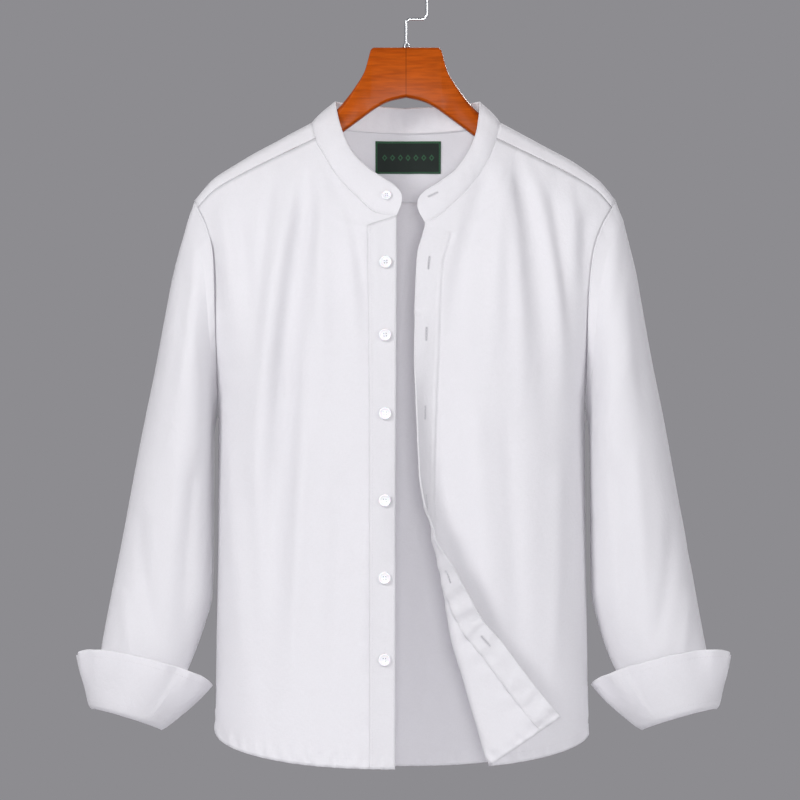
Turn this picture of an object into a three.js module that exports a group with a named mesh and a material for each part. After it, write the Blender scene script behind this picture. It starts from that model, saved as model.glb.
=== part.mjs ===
import * as THREE from 'three';

// A mandarin collar shirt, hanging open on a wooden hanger.
// Millimetres, +Z up. The front faces -Y, and +X is to the right of whoever looks at it.
// The origin is the inside top of the hook's loop, where a rail carries it.

// Driving dimensions
const CLOTH = 1.3;
const BAND_CLOTH = 1.0;
const COLLAR_WALL = 2.0;
const CUFF_WALL = 1.6;
const SEAM_GAP = 0.4;
const LAY_GAP = 0.3;
const RIDGE_RADIUS = 18;
const RIDGE_TURN = THREE.MathUtils.degToRad(58);
const DEPTH = 88;
const DEPTH_RUN = 230;
const DEPTH_POWER = { front: 1.85, back: 2.4 };
const HEM_TAPER = 0.045;
const UNDERARM_Z = -503;
const HEM_LEVEL_Z = -904;
const BODY_DRIFT = -4.8;
const BAND_WIDTH = 28.5;
const BUTTON_RADIUS = 7.1;
const COLLAR_BUTTON_RADIUS = 5.6;
const BUTTON_THICKNESS = 3;
const HOOK_LOOP_RADIUS = 23.5;
const WIRE_RADIUS = 1.9;
const SIDE_GAP = 0.27;
const ARMHOLE_GAP = 0.5;

const FRONT = -1;
const BACK = 1;
const LEFT = -1;
const RIGHT = 1;

function table(columns, rows) {
  return rows.map((row) => Object.fromEntries(columns.map((name, i) => [name, row[i]])));
}

// A smooth curve through the rows of a table, with no overshoot between them.
function curveThrough(rows, key, value) {
  const sorted = [...rows].sort((a, b) => a[key] - b[key]);
  const xs = sorted.map((row) => row[key]);
  const ys = sorted.map((row) => row[value]);
  const steps = xs.slice(1).map((x, i) => (ys[i + 1] - ys[i]) / (x - xs[i]));
  const slopes = ys.map((_, i) => {
    if (i === 0) return steps[0];
    if (i === steps.length) return steps[i - 1];
    if (steps[i - 1] * steps[i] <= 0) return 0;
    return (2 * steps[i - 1] * steps[i]) / (steps[i - 1] + steps[i]);
  });
  return (x) => {
    if (x <= xs[0]) return ys[0];
    if (x >= xs[xs.length - 1]) return ys[ys.length - 1];
    const i = xs.findIndex((edge) => edge > x) - 1;
    const width = xs[i + 1] - xs[i];
    const t = (x - xs[i]) / width;
    return ys[i] * (1 + 2 * t) * (1 - t) ** 2 + ys[i + 1] * t * t * (3 - 2 * t)
      + width * (slopes[i] * t * (1 - t) ** 2 - slopes[i + 1] * t * t * (1 - t));
  };
}

function smooth(from, to, value) {
  return THREE.MathUtils.smoothstep((value - from) / (to - from), 0, 1);
}

const mix = THREE.MathUtils.lerp;

// The form of the hanging body.
// Its shoulder ridge, its half width and its armhole, each at a few heights or widths.
const RIDGE = table(['x', 'z'], [
  [0, -140], [50, -150], [85, -162.5], [107, -173.5], [122, -181.5],
  [164, -204], [203, -226.7], [218, -238], [228, -249], [237, -261],
]);
const HALF_WIDTH = table(['z', 'w'], [
  [-174, 330], [-264, 290], [-322, 255], [-400, 225], [-460, 211], [-503, 207], [-904, 211],
]);
const ARMHOLE_TOP_Z = -261;
const ARMHOLE = table(['z', 'x'], [
  [ARMHOLE_TOP_Z, 237], [-290, 222], [-322, 213], [-370, 209.5], [-430, 207.8],
  [UNDERARM_Z, 207],
]);
const ridgeAt = curveThrough(RIDGE, 'x', 'z');
const halfWidthAt = curveThrough(HALF_WIDTH, 'z', 'w');
const armholeAt = curveThrough(ARMHOLE, 'z', 'x');

function driftAt(z) {
  return BODY_DRIFT * smooth(-200, -400, z);
}

// One side of a level cut: its tangent turns by a quarter, mostly near the side seam.
const LATERAL_STEPS = 240;
const LATERAL_POWER = 3;
const LATERAL = [{ tau: 0, out: 0, deep: 0 }];
for (let i = 0; i < LATERAL_STEPS; i += 1) {
  const angle = (Math.PI / 2) * ((i + 0.5) / LATERAL_STEPS) ** LATERAL_POWER;
  const last = LATERAL[i];
  LATERAL.push({
    tau: (i + 1) / LATERAL_STEPS,
    out: last.out + Math.cos(angle) / LATERAL_STEPS,
    deep: last.deep + Math.sin(angle) / LATERAL_STEPS,
  });
}
const LATERAL_END = LATERAL[LATERAL_STEPS];

function lateral(tau) {
  const place = Math.min(Math.abs(tau), 1) * LATERAL_STEPS;
  const i = Math.min(Math.floor(place), LATERAL_STEPS - 1);
  const out = mix(LATERAL[i].out, LATERAL[i + 1].out, place - i) / LATERAL_END.out;
  const deep = 1 - mix(LATERAL[i].deep, LATERAL[i + 1].deep, place - i) / LATERAL_END.deep;
  return { out: Math.sign(tau) * out, deep };
}

function tauAt(out) {
  const wanted = Math.min(Math.abs(out), 1) * LATERAL_END.out;
  const i = Math.max(LATERAL.findIndex((row) => row.out >= wanted), 1);
  const [low, high] = [LATERAL[i - 1], LATERAL[i]];
  return Math.sign(out) * mix(low.tau, high.tau, (wanted - low.out) / (high.out - low.out));
}

// Down from the ridge: round over the shoulder, then easing out to the full depth.
const ROUND_DROP = RIDGE_RADIUS * (1 - Math.cos(RIDGE_TURN));
const ROUND_DEPTH = RIDGE_RADIUS * Math.sin(RIDGE_TURN);
const ROUND_WAY = RIDGE_RADIUS * RIDGE_TURN;
const DROP_RATE = Math.sin(RIDGE_TURN);

function dropAt(way) {
  const run = Math.abs(way);
  if (run < ROUND_WAY) return RIDGE_RADIUS * (1 - Math.cos(run / RIDGE_RADIUS));
  return ROUND_DROP + (run - ROUND_WAY) * DROP_RATE;
}

function wayAt(drop) {
  if (drop < ROUND_DROP) return RIDGE_RADIUS * Math.acos(1 - Math.max(drop, 0) / RIDGE_RADIUS);
  return ROUND_WAY + (drop - ROUND_DROP) / DROP_RATE;
}

function depthAt(drop, side) {
  if (drop < ROUND_DROP) return Math.sqrt(Math.max(2 * RIDGE_RADIUS * drop - drop * drop, 0));
  const run = Math.min((drop - ROUND_DROP) / (DEPTH_RUN - ROUND_DROP), 1);
  const power = side === BACK ? DEPTH_POWER.back : DEPTH_POWER.front;
  return ROUND_DEPTH + (DEPTH - ROUND_DEPTH) * (1 - (1 - run) ** power);
}

// Places on the form have two coordinates: tau across, from -1 at one side seam to 1 at the
// other, and way down from the ridge, negative in front and positive behind.
const SOLVER_STEPS = 40;

function plainPoint(tau, way) {
  const drop = dropAt(way);
  const { out, deep } = lateral(tau);
  let z = UNDERARM_Z;
  let x = 0;
  for (let i = 0; i < SOLVER_STEPS; i += 1) {
    x = halfWidthAt(z) * out;
    z = ridgeAt(Math.abs(x)) - drop;
  }
  const taper = 1 - HEM_TAPER * smooth(UNDERARM_Z, HEM_LEVEL_Z, z);
  const y = Math.sign(way) * depthAt(drop, Math.sign(way)) * deep * taper;
  return new THREE.Vector3(x + driftAt(z), y, z);
}

// A place by its height and its distance from the body's own middle line, or from x = 0.
function ownPlace(own, z, side) {
  return { tau: tauAt(own / halfWidthAt(z)), way: side * wayAt(ridgeAt(Math.abs(own)) - z) };
}

function placeOf(x, z, side) {
  return ownPlace(x - driftAt(z), z, side);
}

const NORMAL_STEP = { tau: 0.004, way: 0.8 };

function normalOf(point, tau, way) {
  const step = NORMAL_STEP;
  const t = Math.max(-1 + step.tau, Math.min(1 - step.tau, tau));
  const across = point(t + step.tau, way).sub(point(t - step.tau, way));
  const down = point(t, way + step.way).sub(point(t, way - step.way));
  return across.cross(down).normalize();
}

// The largest folds hang from the shoulders. Each runs through three places and is a soft
// trough where its depth is negative, a soft ridge where it is positive. It swells up over
// the first share of its run and fades away over the last.
const FOLD_SWELL_END = 0.16;
const FOLD_FADE_START = 0.45;
const FOLDS = table(['side', 'depth', 'width', 'x0', 'z0', 'x1', 'z1', 'x2', 'z2'], [
  [FRONT, -6.5, 16, -101, -200, -119, -330, -143, -760],
  [FRONT, 4.0, 12, -100, -200, -97, -330, -84, -520],
  [FRONT, -4.0, 13, -93, -200, -54, -320, -33, -500],
  [FRONT, 3.6, 11, -206, -262, -197, -330, -192, -430],
  [FRONT, -3.6, 12, -196, -262, -178, -350, -172, -480],
  [FRONT, 3.8, 11, 106, -205, 102, -320, 92, -480],
  [FRONT, -5.2, 14, 124, -205, 145, -330, 156, -600],
  [FRONT, -4.2, 13, 100, -215, 68, -310, 50, -460],
  [FRONT, -3.6, 11, 208, -262, 198, -330, 192, -440],
  [BACK, -4.4, 15, -118, -318, -128, -480, -140, -760],
  [BACK, 3.4, 14, -86, -318, -88, -470, -96, -700],
  [BACK, -3.8, 15, 104, -318, 116, -470, 122, -720],
  [BACK, 3.2, 14, 76, -318, 80, -450, 88, -640],
  [BACK, -2.6, 15, 6, -330, 4, -520, -2, -800],
]);

function foldAt(x, z, side) {
  let offset = 0;
  for (const fold of FOLDS) {
    const t = (z - fold.z0) / (fold.z2 - fold.z0);
    if (fold.side !== side || t <= 0 || t >= 1) continue;
    const bend = (fold.z1 - fold.z0) / (fold.z2 - fold.z0);
    const across = fold.x0 * (t - bend) * (t - 1) / bend
      + fold.x1 * t * (t - 1) / (bend * (bend - 1)) + fold.x2 * t * (t - bend) / (1 - bend);
    const strength = smooth(0, FOLD_SWELL_END, t) * smooth(1, FOLD_FADE_START, t);
    offset += fold.depth * strength * Math.exp(-(((x - across) / fold.width) ** 2));
  }
  return offset;
}

function bodyPoint(tau, way) {
  const plain = plainPoint(tau, way);
  const offset = foldAt(plain.x, plain.z, Math.sign(way));
  if (offset === 0) return plain;
  return plain.addScaledVector(normalOf(plainPoint, tau, way), offset);
}

function bodySpot({ tau, way }) {
  return { point: bodyPoint(tau, way), normal: normalOf(bodyPoint, tau, way) };
}

// Walls of cloth. A grid is rows of spots, each a point on the outer face and its normal.
function wall(name, grid, thickness, closed, material, lift = 0) {
  const rows = grid.length;
  const columns = grid[0].length;
  const positions = [];
  for (const depth of [lift, lift - thickness]) {
    for (const row of grid) {
      for (const { point, normal } of row) {
        positions.push(...point.clone().addScaledVector(normal, depth).toArray());
      }
    }
  }
  const inner = rows * columns;
  const at = (r, c) => r * columns + (c % columns);
  const faces = [];
  const quad = (a, b, c, d) => faces.push(a, b, c, a, c, d);
  const spans = closed ? columns : columns - 1;
  for (let r = 0; r < rows - 1; r += 1) {
    for (let c = 0; c < spans; c += 1) {
      const [a, b, d, e] = [at(r, c), at(r, c + 1), at(r + 1, c + 1), at(r + 1, c)];
      quad(a, e, d, b);
      quad(inner + a, inner + b, inner + d, inner + e);
    }
  }
  for (let c = 0; c < spans; c += 1) {
    const [a, b] = [at(0, c), at(0, c + 1)];
    const [d, e] = [at(rows - 1, c), at(rows - 1, c + 1)];
    quad(a, b, inner + b, inner + a);
    quad(d, inner + d, inner + e, e);
  }
  for (let r = 0; r < rows - 1 && !closed; r += 1) {
    const [a, b] = [at(r, 0), at(r + 1, 0)];
    const [d, e] = [at(r, columns - 1), at(r + 1, columns - 1)];
    quad(a, inner + a, inner + b, b);
    quad(d, e, inner + e, inner + d);
  }
  return solid(name, positions, faces, material);
}

function solid(name, positions, faces, material) {
  let volume = 0;
  const corner = (i) => new THREE.Vector3().fromArray(positions, 3 * i);
  for (let i = 0; i < faces.length; i += 3) {
    volume += corner(faces[i]).dot(corner(faces[i + 1]).cross(corner(faces[i + 2])));
  }
  if (volume < 0) faces.reverse();
  const geometry = new THREE.BufferGeometry();
  geometry.setAttribute('position', new THREE.Float32BufferAttribute(positions, 3));
  geometry.setIndex(faces);
  geometry.computeVertexNormals();
  const mesh = new THREE.Mesh(geometry, material);
  mesh.name = name;
  return mesh;
}

// Normals for a grid of bare points, from the rows and columns beside each one.
function withNormals(points, closed) {
  const columns = points[0].length;
  const column = (c) => (closed ? (c + columns) % columns : Math.max(0, Math.min(columns - 1, c)));
  return points.map((row, r) => row.map((point, c) => {
    const above = points[Math.max(r - 1, 0)][c];
    const below = points[Math.min(r + 1, points.length - 1)][c];
    const across = row[column(c + 1)].clone().sub(row[column(c - 1)]);
    return { point, normal: across.cross(below.clone().sub(above)).normalize() };
  }));
}

function cotton() {
  return new THREE.MeshStandardMaterial({ color: 0xeeedf2, roughness: 0.9, metalness: 0 });
}

const shirt = new THREE.Group();

// Seam lines. The front yoke seam runs below the ridge, the back one across the shoulders.
const FRONT_SEAM = { neckX: 101.7, neckDrop: 20.5, armX: 233.5, armDrop: 13 };
const BACK_SEAM = { centreZ: -259.5, armZ: -311, power: 1.8 };
const ARM_FRONT_ROWS = 9;
const ARM_BACK_ROWS = 6;
const NECK_ROWS = 5;
const FRONT_ROWS = 22;
const BACK_ROWS = 20;
const BACK_HALF_COLUMNS = 12;
const YOKE_ROWS = 6;
const NECK_STEPS = 600;

// The neckline, from the shoulder to the front edge, on the left and on the right.
// The right front has slipped down a little and stands further open.
const NECKLINE = table(['x', 'left', 'right'], [
  [107, -174.5, -174.5], [103, -190.5, -190.5], [91, -212.5, -219], [78, -233.5, -239],
  [65, -248.7, -254.5], [54, -259.5, -265.5], [43, -270.5, -276], [34, -277, -283],
  [21, -280, -288.8], [10, -281, -289.5],
]);
const NECK_END = { [LEFT]: 10.5, [RIGHT]: 20.9 };
const NECK_SHOULDER = 107;
const NECK_BACK_DROP = 8.4;
const necklineAt = {
  [LEFT]: curveThrough(NECKLINE, 'x', 'left'),
  [RIGHT]: curveThrough(NECKLINE, 'x', 'right'),
};

// The front edges: the left one hangs straight, the right one is given as it lies flat,
// before its lower corner rolls outward.
const FRONT_EDGE = table(['z', 'left', 'right'], [
  [-281, -10.5, 20.9], [-289, -10.5, 20.9], [-306, -10.6, 17], [-322, -10.6, 12.4],
  [-356, -10.8, 10.2], [-408, -11, 8.6], [-640, -11.8, 1.5], [-904, -12.4, -15],
]);
const frontEdgeAt = {
  [LEFT]: curveThrough(FRONT_EDGE, 'z', 'left'),
  [RIGHT]: curveThrough(FRONT_EDGE, 'z', 'right'),
};

// The shirt tail: lowest at the centre, rising to the side seams. The back hangs lower.
const HEM = { [FRONT]: { z: -897, rise: 37.5 }, [BACK]: { z: -907, rise: 47.5 }, power: 2.5 };

function hemAt(x, side) {
  const tau = tauAt((x - BODY_DRIFT) / halfWidthAt(HEM_LEVEL_Z));
  return HEM[side].z + HEM[side].rise * Math.abs(tau) ** HEM.power;
}

function frontSeamPlace(hand, t) {
  const x = mix(FRONT_SEAM.neckX, FRONT_SEAM.armX, t);
  const drop = mix(FRONT_SEAM.neckDrop, FRONT_SEAM.armDrop, t);
  return ownPlace(hand * x, ridgeAt(x) - drop, FRONT);
}

function backSeamPlace(j) {
  const tau = j / BACK_HALF_COLUMNS;
  const z = mix(BACK_SEAM.centreZ, BACK_SEAM.armZ, Math.abs(tau) ** BACK_SEAM.power);
  const reach = ownPlace(armholeAt(BACK_SEAM.armZ), BACK_SEAM.armZ, BACK).tau;
  const x = halfWidthAt(z) * lateral(tau * reach).out;
  return ownPlace(x, z, BACK);
}

const frontArmTop = ridgeAt(FRONT_SEAM.armX) - FRONT_SEAM.armDrop;

// The armhole and the side seam, as one outer edge for a front or a back.
function sidePlace(hand, side, row, armRows, armTop, lastRow) {
  if (row <= armRows) {
    const z = mix(armTop, UNDERARM_Z, row / armRows);
    const edge = row === 0 && side === FRONT ? FRONT_SEAM.armX : armholeAt(z);
    const bare = ownPlace(hand * edge, z, side);
    if (row < armRows) return bare;
    return { tau: hand, way: bare.way };
  }
  const x = halfWidthAt(HEM_LEVEL_Z);
  const hem = hemAt(hand * x + BODY_DRIFT, side);
  const z = mix(UNDERARM_Z, hem, (row - armRows) / (lastRow - armRows));
  return { tau: hand, way: side * wayAt(ridgeAt(halfWidthAt(z)) - z) };
}

// Points along the neckline in front, evenly spaced from the yoke seam to the front edge.
function neckFrontPlaces(hand) {
  const fine = [];
  let length = 0;
  for (let i = 0; i <= NECK_STEPS; i += 1) {
    const x = mix(FRONT_SEAM.neckX, NECK_END[hand], i / NECK_STEPS);
    const z = necklineAt[hand](x);
    if (i > 0) length += Math.hypot(x - fine[i - 1].x, z - fine[i - 1].z);
    fine.push({ x, z, length });
  }
  return Array.from({ length: NECK_ROWS + 1 }, (_, r) => {
    const wanted = (length * r) / NECK_ROWS;
    const spot = fine.find((row) => row.length >= wanted - 1e-9) ?? fine[fine.length - 1];
    return placeOf(hand * spot.x, spot.z, FRONT);
  });
}

function innerPlaces(hand) {
  const places = neckFrontPlaces(hand);
  places[0] = frontSeamPlace(hand, 0);
  const top = necklineAt[hand](NECK_END[hand]);
  const foot = hemAt(frontEdgeAt[hand](HEM_LEVEL_Z), FRONT);
  for (let r = NECK_ROWS + 1; r <= FRONT_ROWS; r += 1) {
    const z = mix(top, foot, (r - NECK_ROWS) / (FRONT_ROWS - NECK_ROWS));
    places.push(placeOf(frontEdgeAt[hand](z), z, FRONT));
  }
  return places;
}

// Fills a four-sided panel between its edges, in the form's own two coordinates.
function fillPanel(top, bottom, inner, outer, spread) {
  return inner.map((from, r) => spread(r).map((t, c) => {
    const s = r / (inner.length - 1);
    const value = (key) => (1 - s) * top[c][key] + s * bottom[c][key]
      + (1 - t) * from[key] + t * outer[r][key]
      - (1 - s) * ((1 - t) * inner[0][key] + t * outer[0][key])
      - s * ((1 - t) * inner[inner.length - 1][key] + t * outer[inner.length - 1][key]);
    return { tau: value('tau'), way: value('way') };
  }));
}

// The yoke lies over both shoulders, from the neckline out to its seams and the armholes.
// Its columns end at the back yoke seam, and then over the shoulder at the armhole.
const YOKE_ARM_WAYS = [50, 34, 22, 13, 5, -2, -9];
const YOKE_ARM_COLUMNS = YOKE_ARM_WAYS.length + 1;
const YOKE_BACK_SHARE = 0.66;
const NECK_BACK_SHARE = 0.8;
const NECK_TURN_POWER = 1.6;

// Half of the neckline within the yoke, from the centre back to the front yoke seam.
function neckYokePlace(share) {
  if (share <= NECK_BACK_SHARE) {
    const x = NECK_SHOULDER * Math.sin((Math.PI / 2) * (share / NECK_BACK_SHARE));
    const drop = NECK_BACK_DROP * (1 - (x / NECK_SHOULDER) ** 2);
    return { x, way: wayAt(ridgeAt(x) - necklineAt[LEFT](NECK_SHOULDER) + drop) };
  }
  const rest = (share - NECK_BACK_SHARE) / (1 - NECK_BACK_SHARE);
  const from = wayAt(ridgeAt(NECK_SHOULDER) - necklineAt[LEFT](NECK_SHOULDER));
  return {
    x: mix(NECK_SHOULDER, FRONT_SEAM.neckX, rest ** NECK_TURN_POWER),
    way: mix(from, -wayAt(FRONT_SEAM.neckDrop), rest),
  };
}

function yokeInnerPlaces() {
  const fine = [];
  let length = 0;
  for (let i = 0; i <= NECK_STEPS; i += 1) {
    const place = neckYokePlace(i / NECK_STEPS);
    const z = ridgeAt(place.x) - dropAt(place.way);
    const point = plainPoint(tauAt(place.x / halfWidthAt(z)), place.way);
    if (i > 0) length += point.distanceTo(fine[i - 1].point);
    fine.push({ ...place, point, length });
  }
  const columns = BACK_HALF_COLUMNS + YOKE_ARM_COLUMNS;
  return Array.from({ length: columns + 1 }, (_, c) => {
    const share = c <= BACK_HALF_COLUMNS
      ? YOKE_BACK_SHARE * c / BACK_HALF_COLUMNS
      : mix(YOKE_BACK_SHARE, 1, (c - BACK_HALF_COLUMNS) / YOKE_ARM_COLUMNS);
    const spot = fine.find((row) => row.length >= share * length - 1e-9) ?? fine[NECK_STEPS];
    return { x: spot.x, way: spot.way };
  });
}

// The place on the armhole that lies a given way from the shoulder ridge.
function armholePlace(way) {
  let low = BACK_SEAM.armZ;
  let high = ARMHOLE_TOP_Z;
  for (let i = 0; i < SOLVER_STEPS; i += 1) {
    const z = (low + high) / 2;
    if (wayAt(ridgeAt(armholeAt(z)) - z) > Math.abs(way)) low = z;
    else high = z;
  }
  return { x: armholeAt(high), way, z: high };
}

function yokeOuterPlaces() {
  const half = [];
  for (let j = 0; j <= BACK_HALF_COLUMNS; j += 1) {
    const place = backSeamPlace(j);
    const point = plainPoint(place.tau, place.way);
    half.push({ x: point.x - driftAt(point.z), way: place.way });
  }
  YOKE_ARM_WAYS.forEach((way) => half.push(armholePlace(way)));
  half.push({ x: FRONT_SEAM.armX, way: -wayAt(FRONT_SEAM.armDrop) });
  return half;
}

function bothHalves(half) {
  const mirrored = half.slice(1).map(({ x, way }) => ({ x: -x, way })).reverse();
  return [...mirrored, ...half];
}

const yokeColumns = 2 * (BACK_HALF_COLUMNS + YOKE_ARM_COLUMNS);
const yokeInner = bothHalves(yokeInnerPlaces());
const yokeOuter = bothHalves(yokeOuterPlaces());

function spotFromX({ x, way }) {
  const z = ridgeAt(Math.abs(x)) - dropAt(way);
  return bodySpot({ tau: tauAt(x / halfWidthAt(z)), way });
}

const yokeSpots = Array.from({ length: YOKE_ROWS + 1 }, (_, r) => yokeInner.map((inner, c) => (
  spotFromX({
    x: mix(inner.x, yokeOuter[c].x, r / YOKE_ROWS),
    way: mix(inner.way, yokeOuter[c].way, r / YOKE_ROWS),
  }))));
shirt.add(wall('yoke', yokeSpots, CLOTH, false, cotton()));

// The front that rolls outward: the row starts to roll at x, around a radius, up to an angle.
const ROLL = table(['z', 'x', 'radius', 'angle'], [
  [-390, 40, 50, 0], [-430, 40, 46, 14], [-480, 41, 36, 40], [-543, 42, 28, 60],
  [-577, 44, 27, 68], [-600, 47, 25.5, 78], [-630, 52, 24, 98], [-679, 54, 16, 142],
  [-742, 59, 11, 166], [-798, 72, 8.5, 168],
  [-855, 87, 7.5, 168], [-900, 101, 7.2, 168], [-960, 122, 7, 168],
]);
const ROLL_SLOPE_STEP = 4;
const ROLL_MIN_REACH = BAND_WIDTH + 10;
const ROLL_SPREAD_POWER = 1.5;
const rollStartAt = curveThrough(ROLL, 'z', 'x');
const rollRadiusAt = curveThrough(ROLL, 'z', 'radius');
const rollAngleAt = curveThrough(ROLL, 'z', 'angle');

function rolledSpot(place) {
  const flat = plainPoint(place.tau, place.way);
  const angleLimit = THREE.MathUtils.degToRad(rollAngleAt(flat.z));
  const startX = rollStartAt(flat.z);
  if (flat.x >= startX || angleLimit < 0.01) return bodySpot(place);
  const start = placeOf(startX, flat.z, FRONT);
  const { point: foot, normal } = bodySpot(start);
  const lowerZ = flat.z - ROLL_SLOPE_STEP;
  const lower = placeOf(rollStartAt(lowerZ), lowerZ, FRONT);
  const along = bodyPoint(lower.tau, lower.way).sub(foot).normalize();
  const away = along.clone().cross(normal).normalize();
  const inward = new THREE.Vector3(-1, 0, 0);
  if (away.dot(inward) < 0) away.negate();
  const reach = startX - flat.x;
  const rolled = reach * inward.dot(away);
  const radius = rollRadiusAt(flat.z);
  const turn = Math.min(rolled / radius, angleLimit);
  const rest = rolled - turn * radius;
  const point = foot.clone()
    .addScaledVector(along, reach * inward.dot(along))
    .addScaledVector(away, radius * Math.sin(turn) + rest * Math.cos(turn))
    .addScaledVector(normal, radius * (1 - Math.cos(turn)) + rest * Math.sin(turn));
  const facing = normal.clone().multiplyScalar(Math.cos(turn));
  facing.addScaledVector(away, -Math.sin(turn));
  return { point, normal: facing };
}

// How the columns of a front are spread: the band first, then the rest of the panel.
function evenSpread(bandColumns, columns, bandShare) {
  return Array.from({ length: columns + 1 }, (_, c) => (c <= bandColumns
    ? bandShare * c / bandColumns
    : mix(bandShare, 1, (c - bandColumns) / (columns - bandColumns))));
}

const LEFT_BAND_COLUMNS = 2;
const LEFT_COLUMNS = 16;
const RIGHT_BAND_COLUMNS = 4;
const RIGHT_ROLL_COLUMNS = 10;
const RIGHT_COLUMNS = 23;

function shareOf(hand, inner, outer, reach) {
  const edge = plainPoint(inner.tau, inner.way);
  const place = placeOf(edge.x + hand * reach, edge.z, FRONT);
  return (place.tau - inner.tau) / (outer.tau - inner.tau);
}

function frontPlaces(hand) {
  const inner = innerPlaces(hand);
  const outer = inner.map((_, r) => (
    sidePlace(hand, FRONT, r, ARM_FRONT_ROWS, frontArmTop, FRONT_ROWS)));
  const spreads = inner.map((place, r) => {
    if (hand === LEFT) {
      const share = shareOf(hand, place, outer[r], BAND_WIDTH);
      return evenSpread(LEFT_BAND_COLUMNS, LEFT_COLUMNS, share);
    }
    const band = shareOf(hand, place, outer[r], BAND_WIDTH);
    const edge = plainPoint(place.tau, place.way);
    const startReach = Math.max(rollStartAt(edge.z) - edge.x, ROLL_MIN_REACH);
    const start = shareOf(hand, place, outer[r], startReach);
    return Array.from({ length: RIGHT_COLUMNS + 1 }, (_, c) => {
      if (c <= RIGHT_BAND_COLUMNS) return band * c / RIGHT_BAND_COLUMNS;
      if (c <= RIGHT_BAND_COLUMNS + RIGHT_ROLL_COLUMNS) {
        const left = 1 - (c - RIGHT_BAND_COLUMNS) / RIGHT_ROLL_COLUMNS;
        return start - (start - band) * left ** ROLL_SPREAD_POWER;
      }
      const first = RIGHT_BAND_COLUMNS + RIGHT_ROLL_COLUMNS;
      return mix(start, 1, (c - first) / (RIGHT_COLUMNS - first));
    });
  });
  const top = spreads[0].map((t) => frontSeamPlace(hand, t));
  const last = spreads[FRONT_ROWS];
  const bottom = last.map((t) => {
    const tau = mix(inner[FRONT_ROWS].tau, outer[FRONT_ROWS].tau, t);
    const x = halfWidthAt(HEM_LEVEL_Z) * lateral(tau).out + BODY_DRIFT;
    return placeOf(x, hemAt(x, FRONT), FRONT);
  });
  return fillPanel(top, bottom, inner, outer, (r) => spreads[r]);
}

// Draws a seam edge back by the seam gap, so that neighbours don't touch.
function easeEdges(places, side) {
  const sideShare = SIDE_GAP / halfWidthAt(HEM_LEVEL_Z);
  return places.map((row, r) => row.map((place, c) => {
    const eased = { ...place };
    if (r === 0) eased.way += side * SEAM_GAP;
    const atEnd = c === 0 || c === row.length - 1;
    if (atEnd && Math.abs(place.tau) > 0.999) eased.tau = place.tau * (1 - sideShare);
    return eased;
  }));
}

// The front's top row follows the very points of the yoke's edge, a seam gap below them.
function seamSpot(edge, t) {
  const place = t * (edge.length - 1);
  const i = Math.min(Math.floor(place), edge.length - 2);
  const [from, to] = [edge[i], edge[i + 1]];
  const normal = from.normal.clone().lerp(to.normal, place - i).normalize();
  const down = to.point.clone().sub(from.point).normalize().cross(normal);
  if (down.z > 0) down.negate();
  const point = from.point.clone().lerp(to.point, place - i).addScaledVector(down, SEAM_GAP);
  return { point, normal };
}

const frontPanels = {};
for (const hand of [LEFT, RIGHT]) {
  const places = easeEdges(frontPlaces(hand), FRONT);
  const spots = places.map((row) => row.map((place) => (
    hand === RIGHT ? rolledSpot(place) : bodySpot(place))));
  const column = hand === LEFT ? 0 : yokeColumns;
  const edge = yokeSpots.map((row) => row[column]);
  const [first, last] = [places[0][0], places[0][places[0].length - 1]];
  spots[0] = places[0].map(({ tau }) => seamSpot(edge, (tau - first.tau) / (last.tau - first.tau)));
  frontPanels[hand] = spots;
}
shirt.add(wall('front_right', frontPanels[LEFT], CLOTH, false, cotton()));
shirt.add(wall('front_left', frontPanels[RIGHT], CLOTH, false, cotton()));

// The bands lie on the fronts: the button band outside, the buttonhole band inside.
function bandGrid(spots, bandColumns) {
  return spots.slice(NECK_ROWS).map((row) => row.slice(0, bandColumns + 1));
}
const buttonBand = bandGrid(frontPanels[LEFT], LEFT_BAND_COLUMNS);
const buttonholeBand = bandGrid(frontPanels[RIGHT], RIGHT_BAND_COLUMNS);
shirt.add(wall('button_band', buttonBand, BAND_CLOTH, false, cotton(), LAY_GAP + BAND_CLOTH));
shirt.add(wall('buttonhole_band', buttonholeBand, BAND_CLOTH, false, cotton(), -CLOTH - LAY_GAP));

// The back hangs from the back yoke seam.
function backPlaces() {
  const columns = 2 * BACK_HALF_COLUMNS;
  const top = Array.from({ length: columns + 1 }, (_, c) => backSeamPlace(c - BACK_HALF_COLUMNS));
  const left = [];
  const right = [];
  for (let r = 0; r <= BACK_ROWS; r += 1) {
    left.push(sidePlace(LEFT, BACK, r, ARM_BACK_ROWS, BACK_SEAM.armZ, BACK_ROWS));
    right.push(sidePlace(RIGHT, BACK, r, ARM_BACK_ROWS, BACK_SEAM.armZ, BACK_ROWS));
  }
  left[0] = top[0];
  right[0] = top[columns];
  const shares = top.map((place) => (place.tau - top[0].tau) / (top[columns].tau - top[0].tau));
  const bottom = shares.map((t) => {
    const x = halfWidthAt(HEM_LEVEL_Z) * lateral(mix(-1, 1, t)).out + BODY_DRIFT;
    const place = placeOf(x, hemAt(x, BACK), BACK);
    return { tau: mix(-1, 1, t), way: place.way };
  });
  return fillPanel(top, bottom, left, right, () => shares);
}

const backSpots = easeEdges(backPlaces(), BACK).map((row) => row.map(bodySpot));
shirt.add(wall('back', backSpots, CLOTH, false, cotton()));

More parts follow.
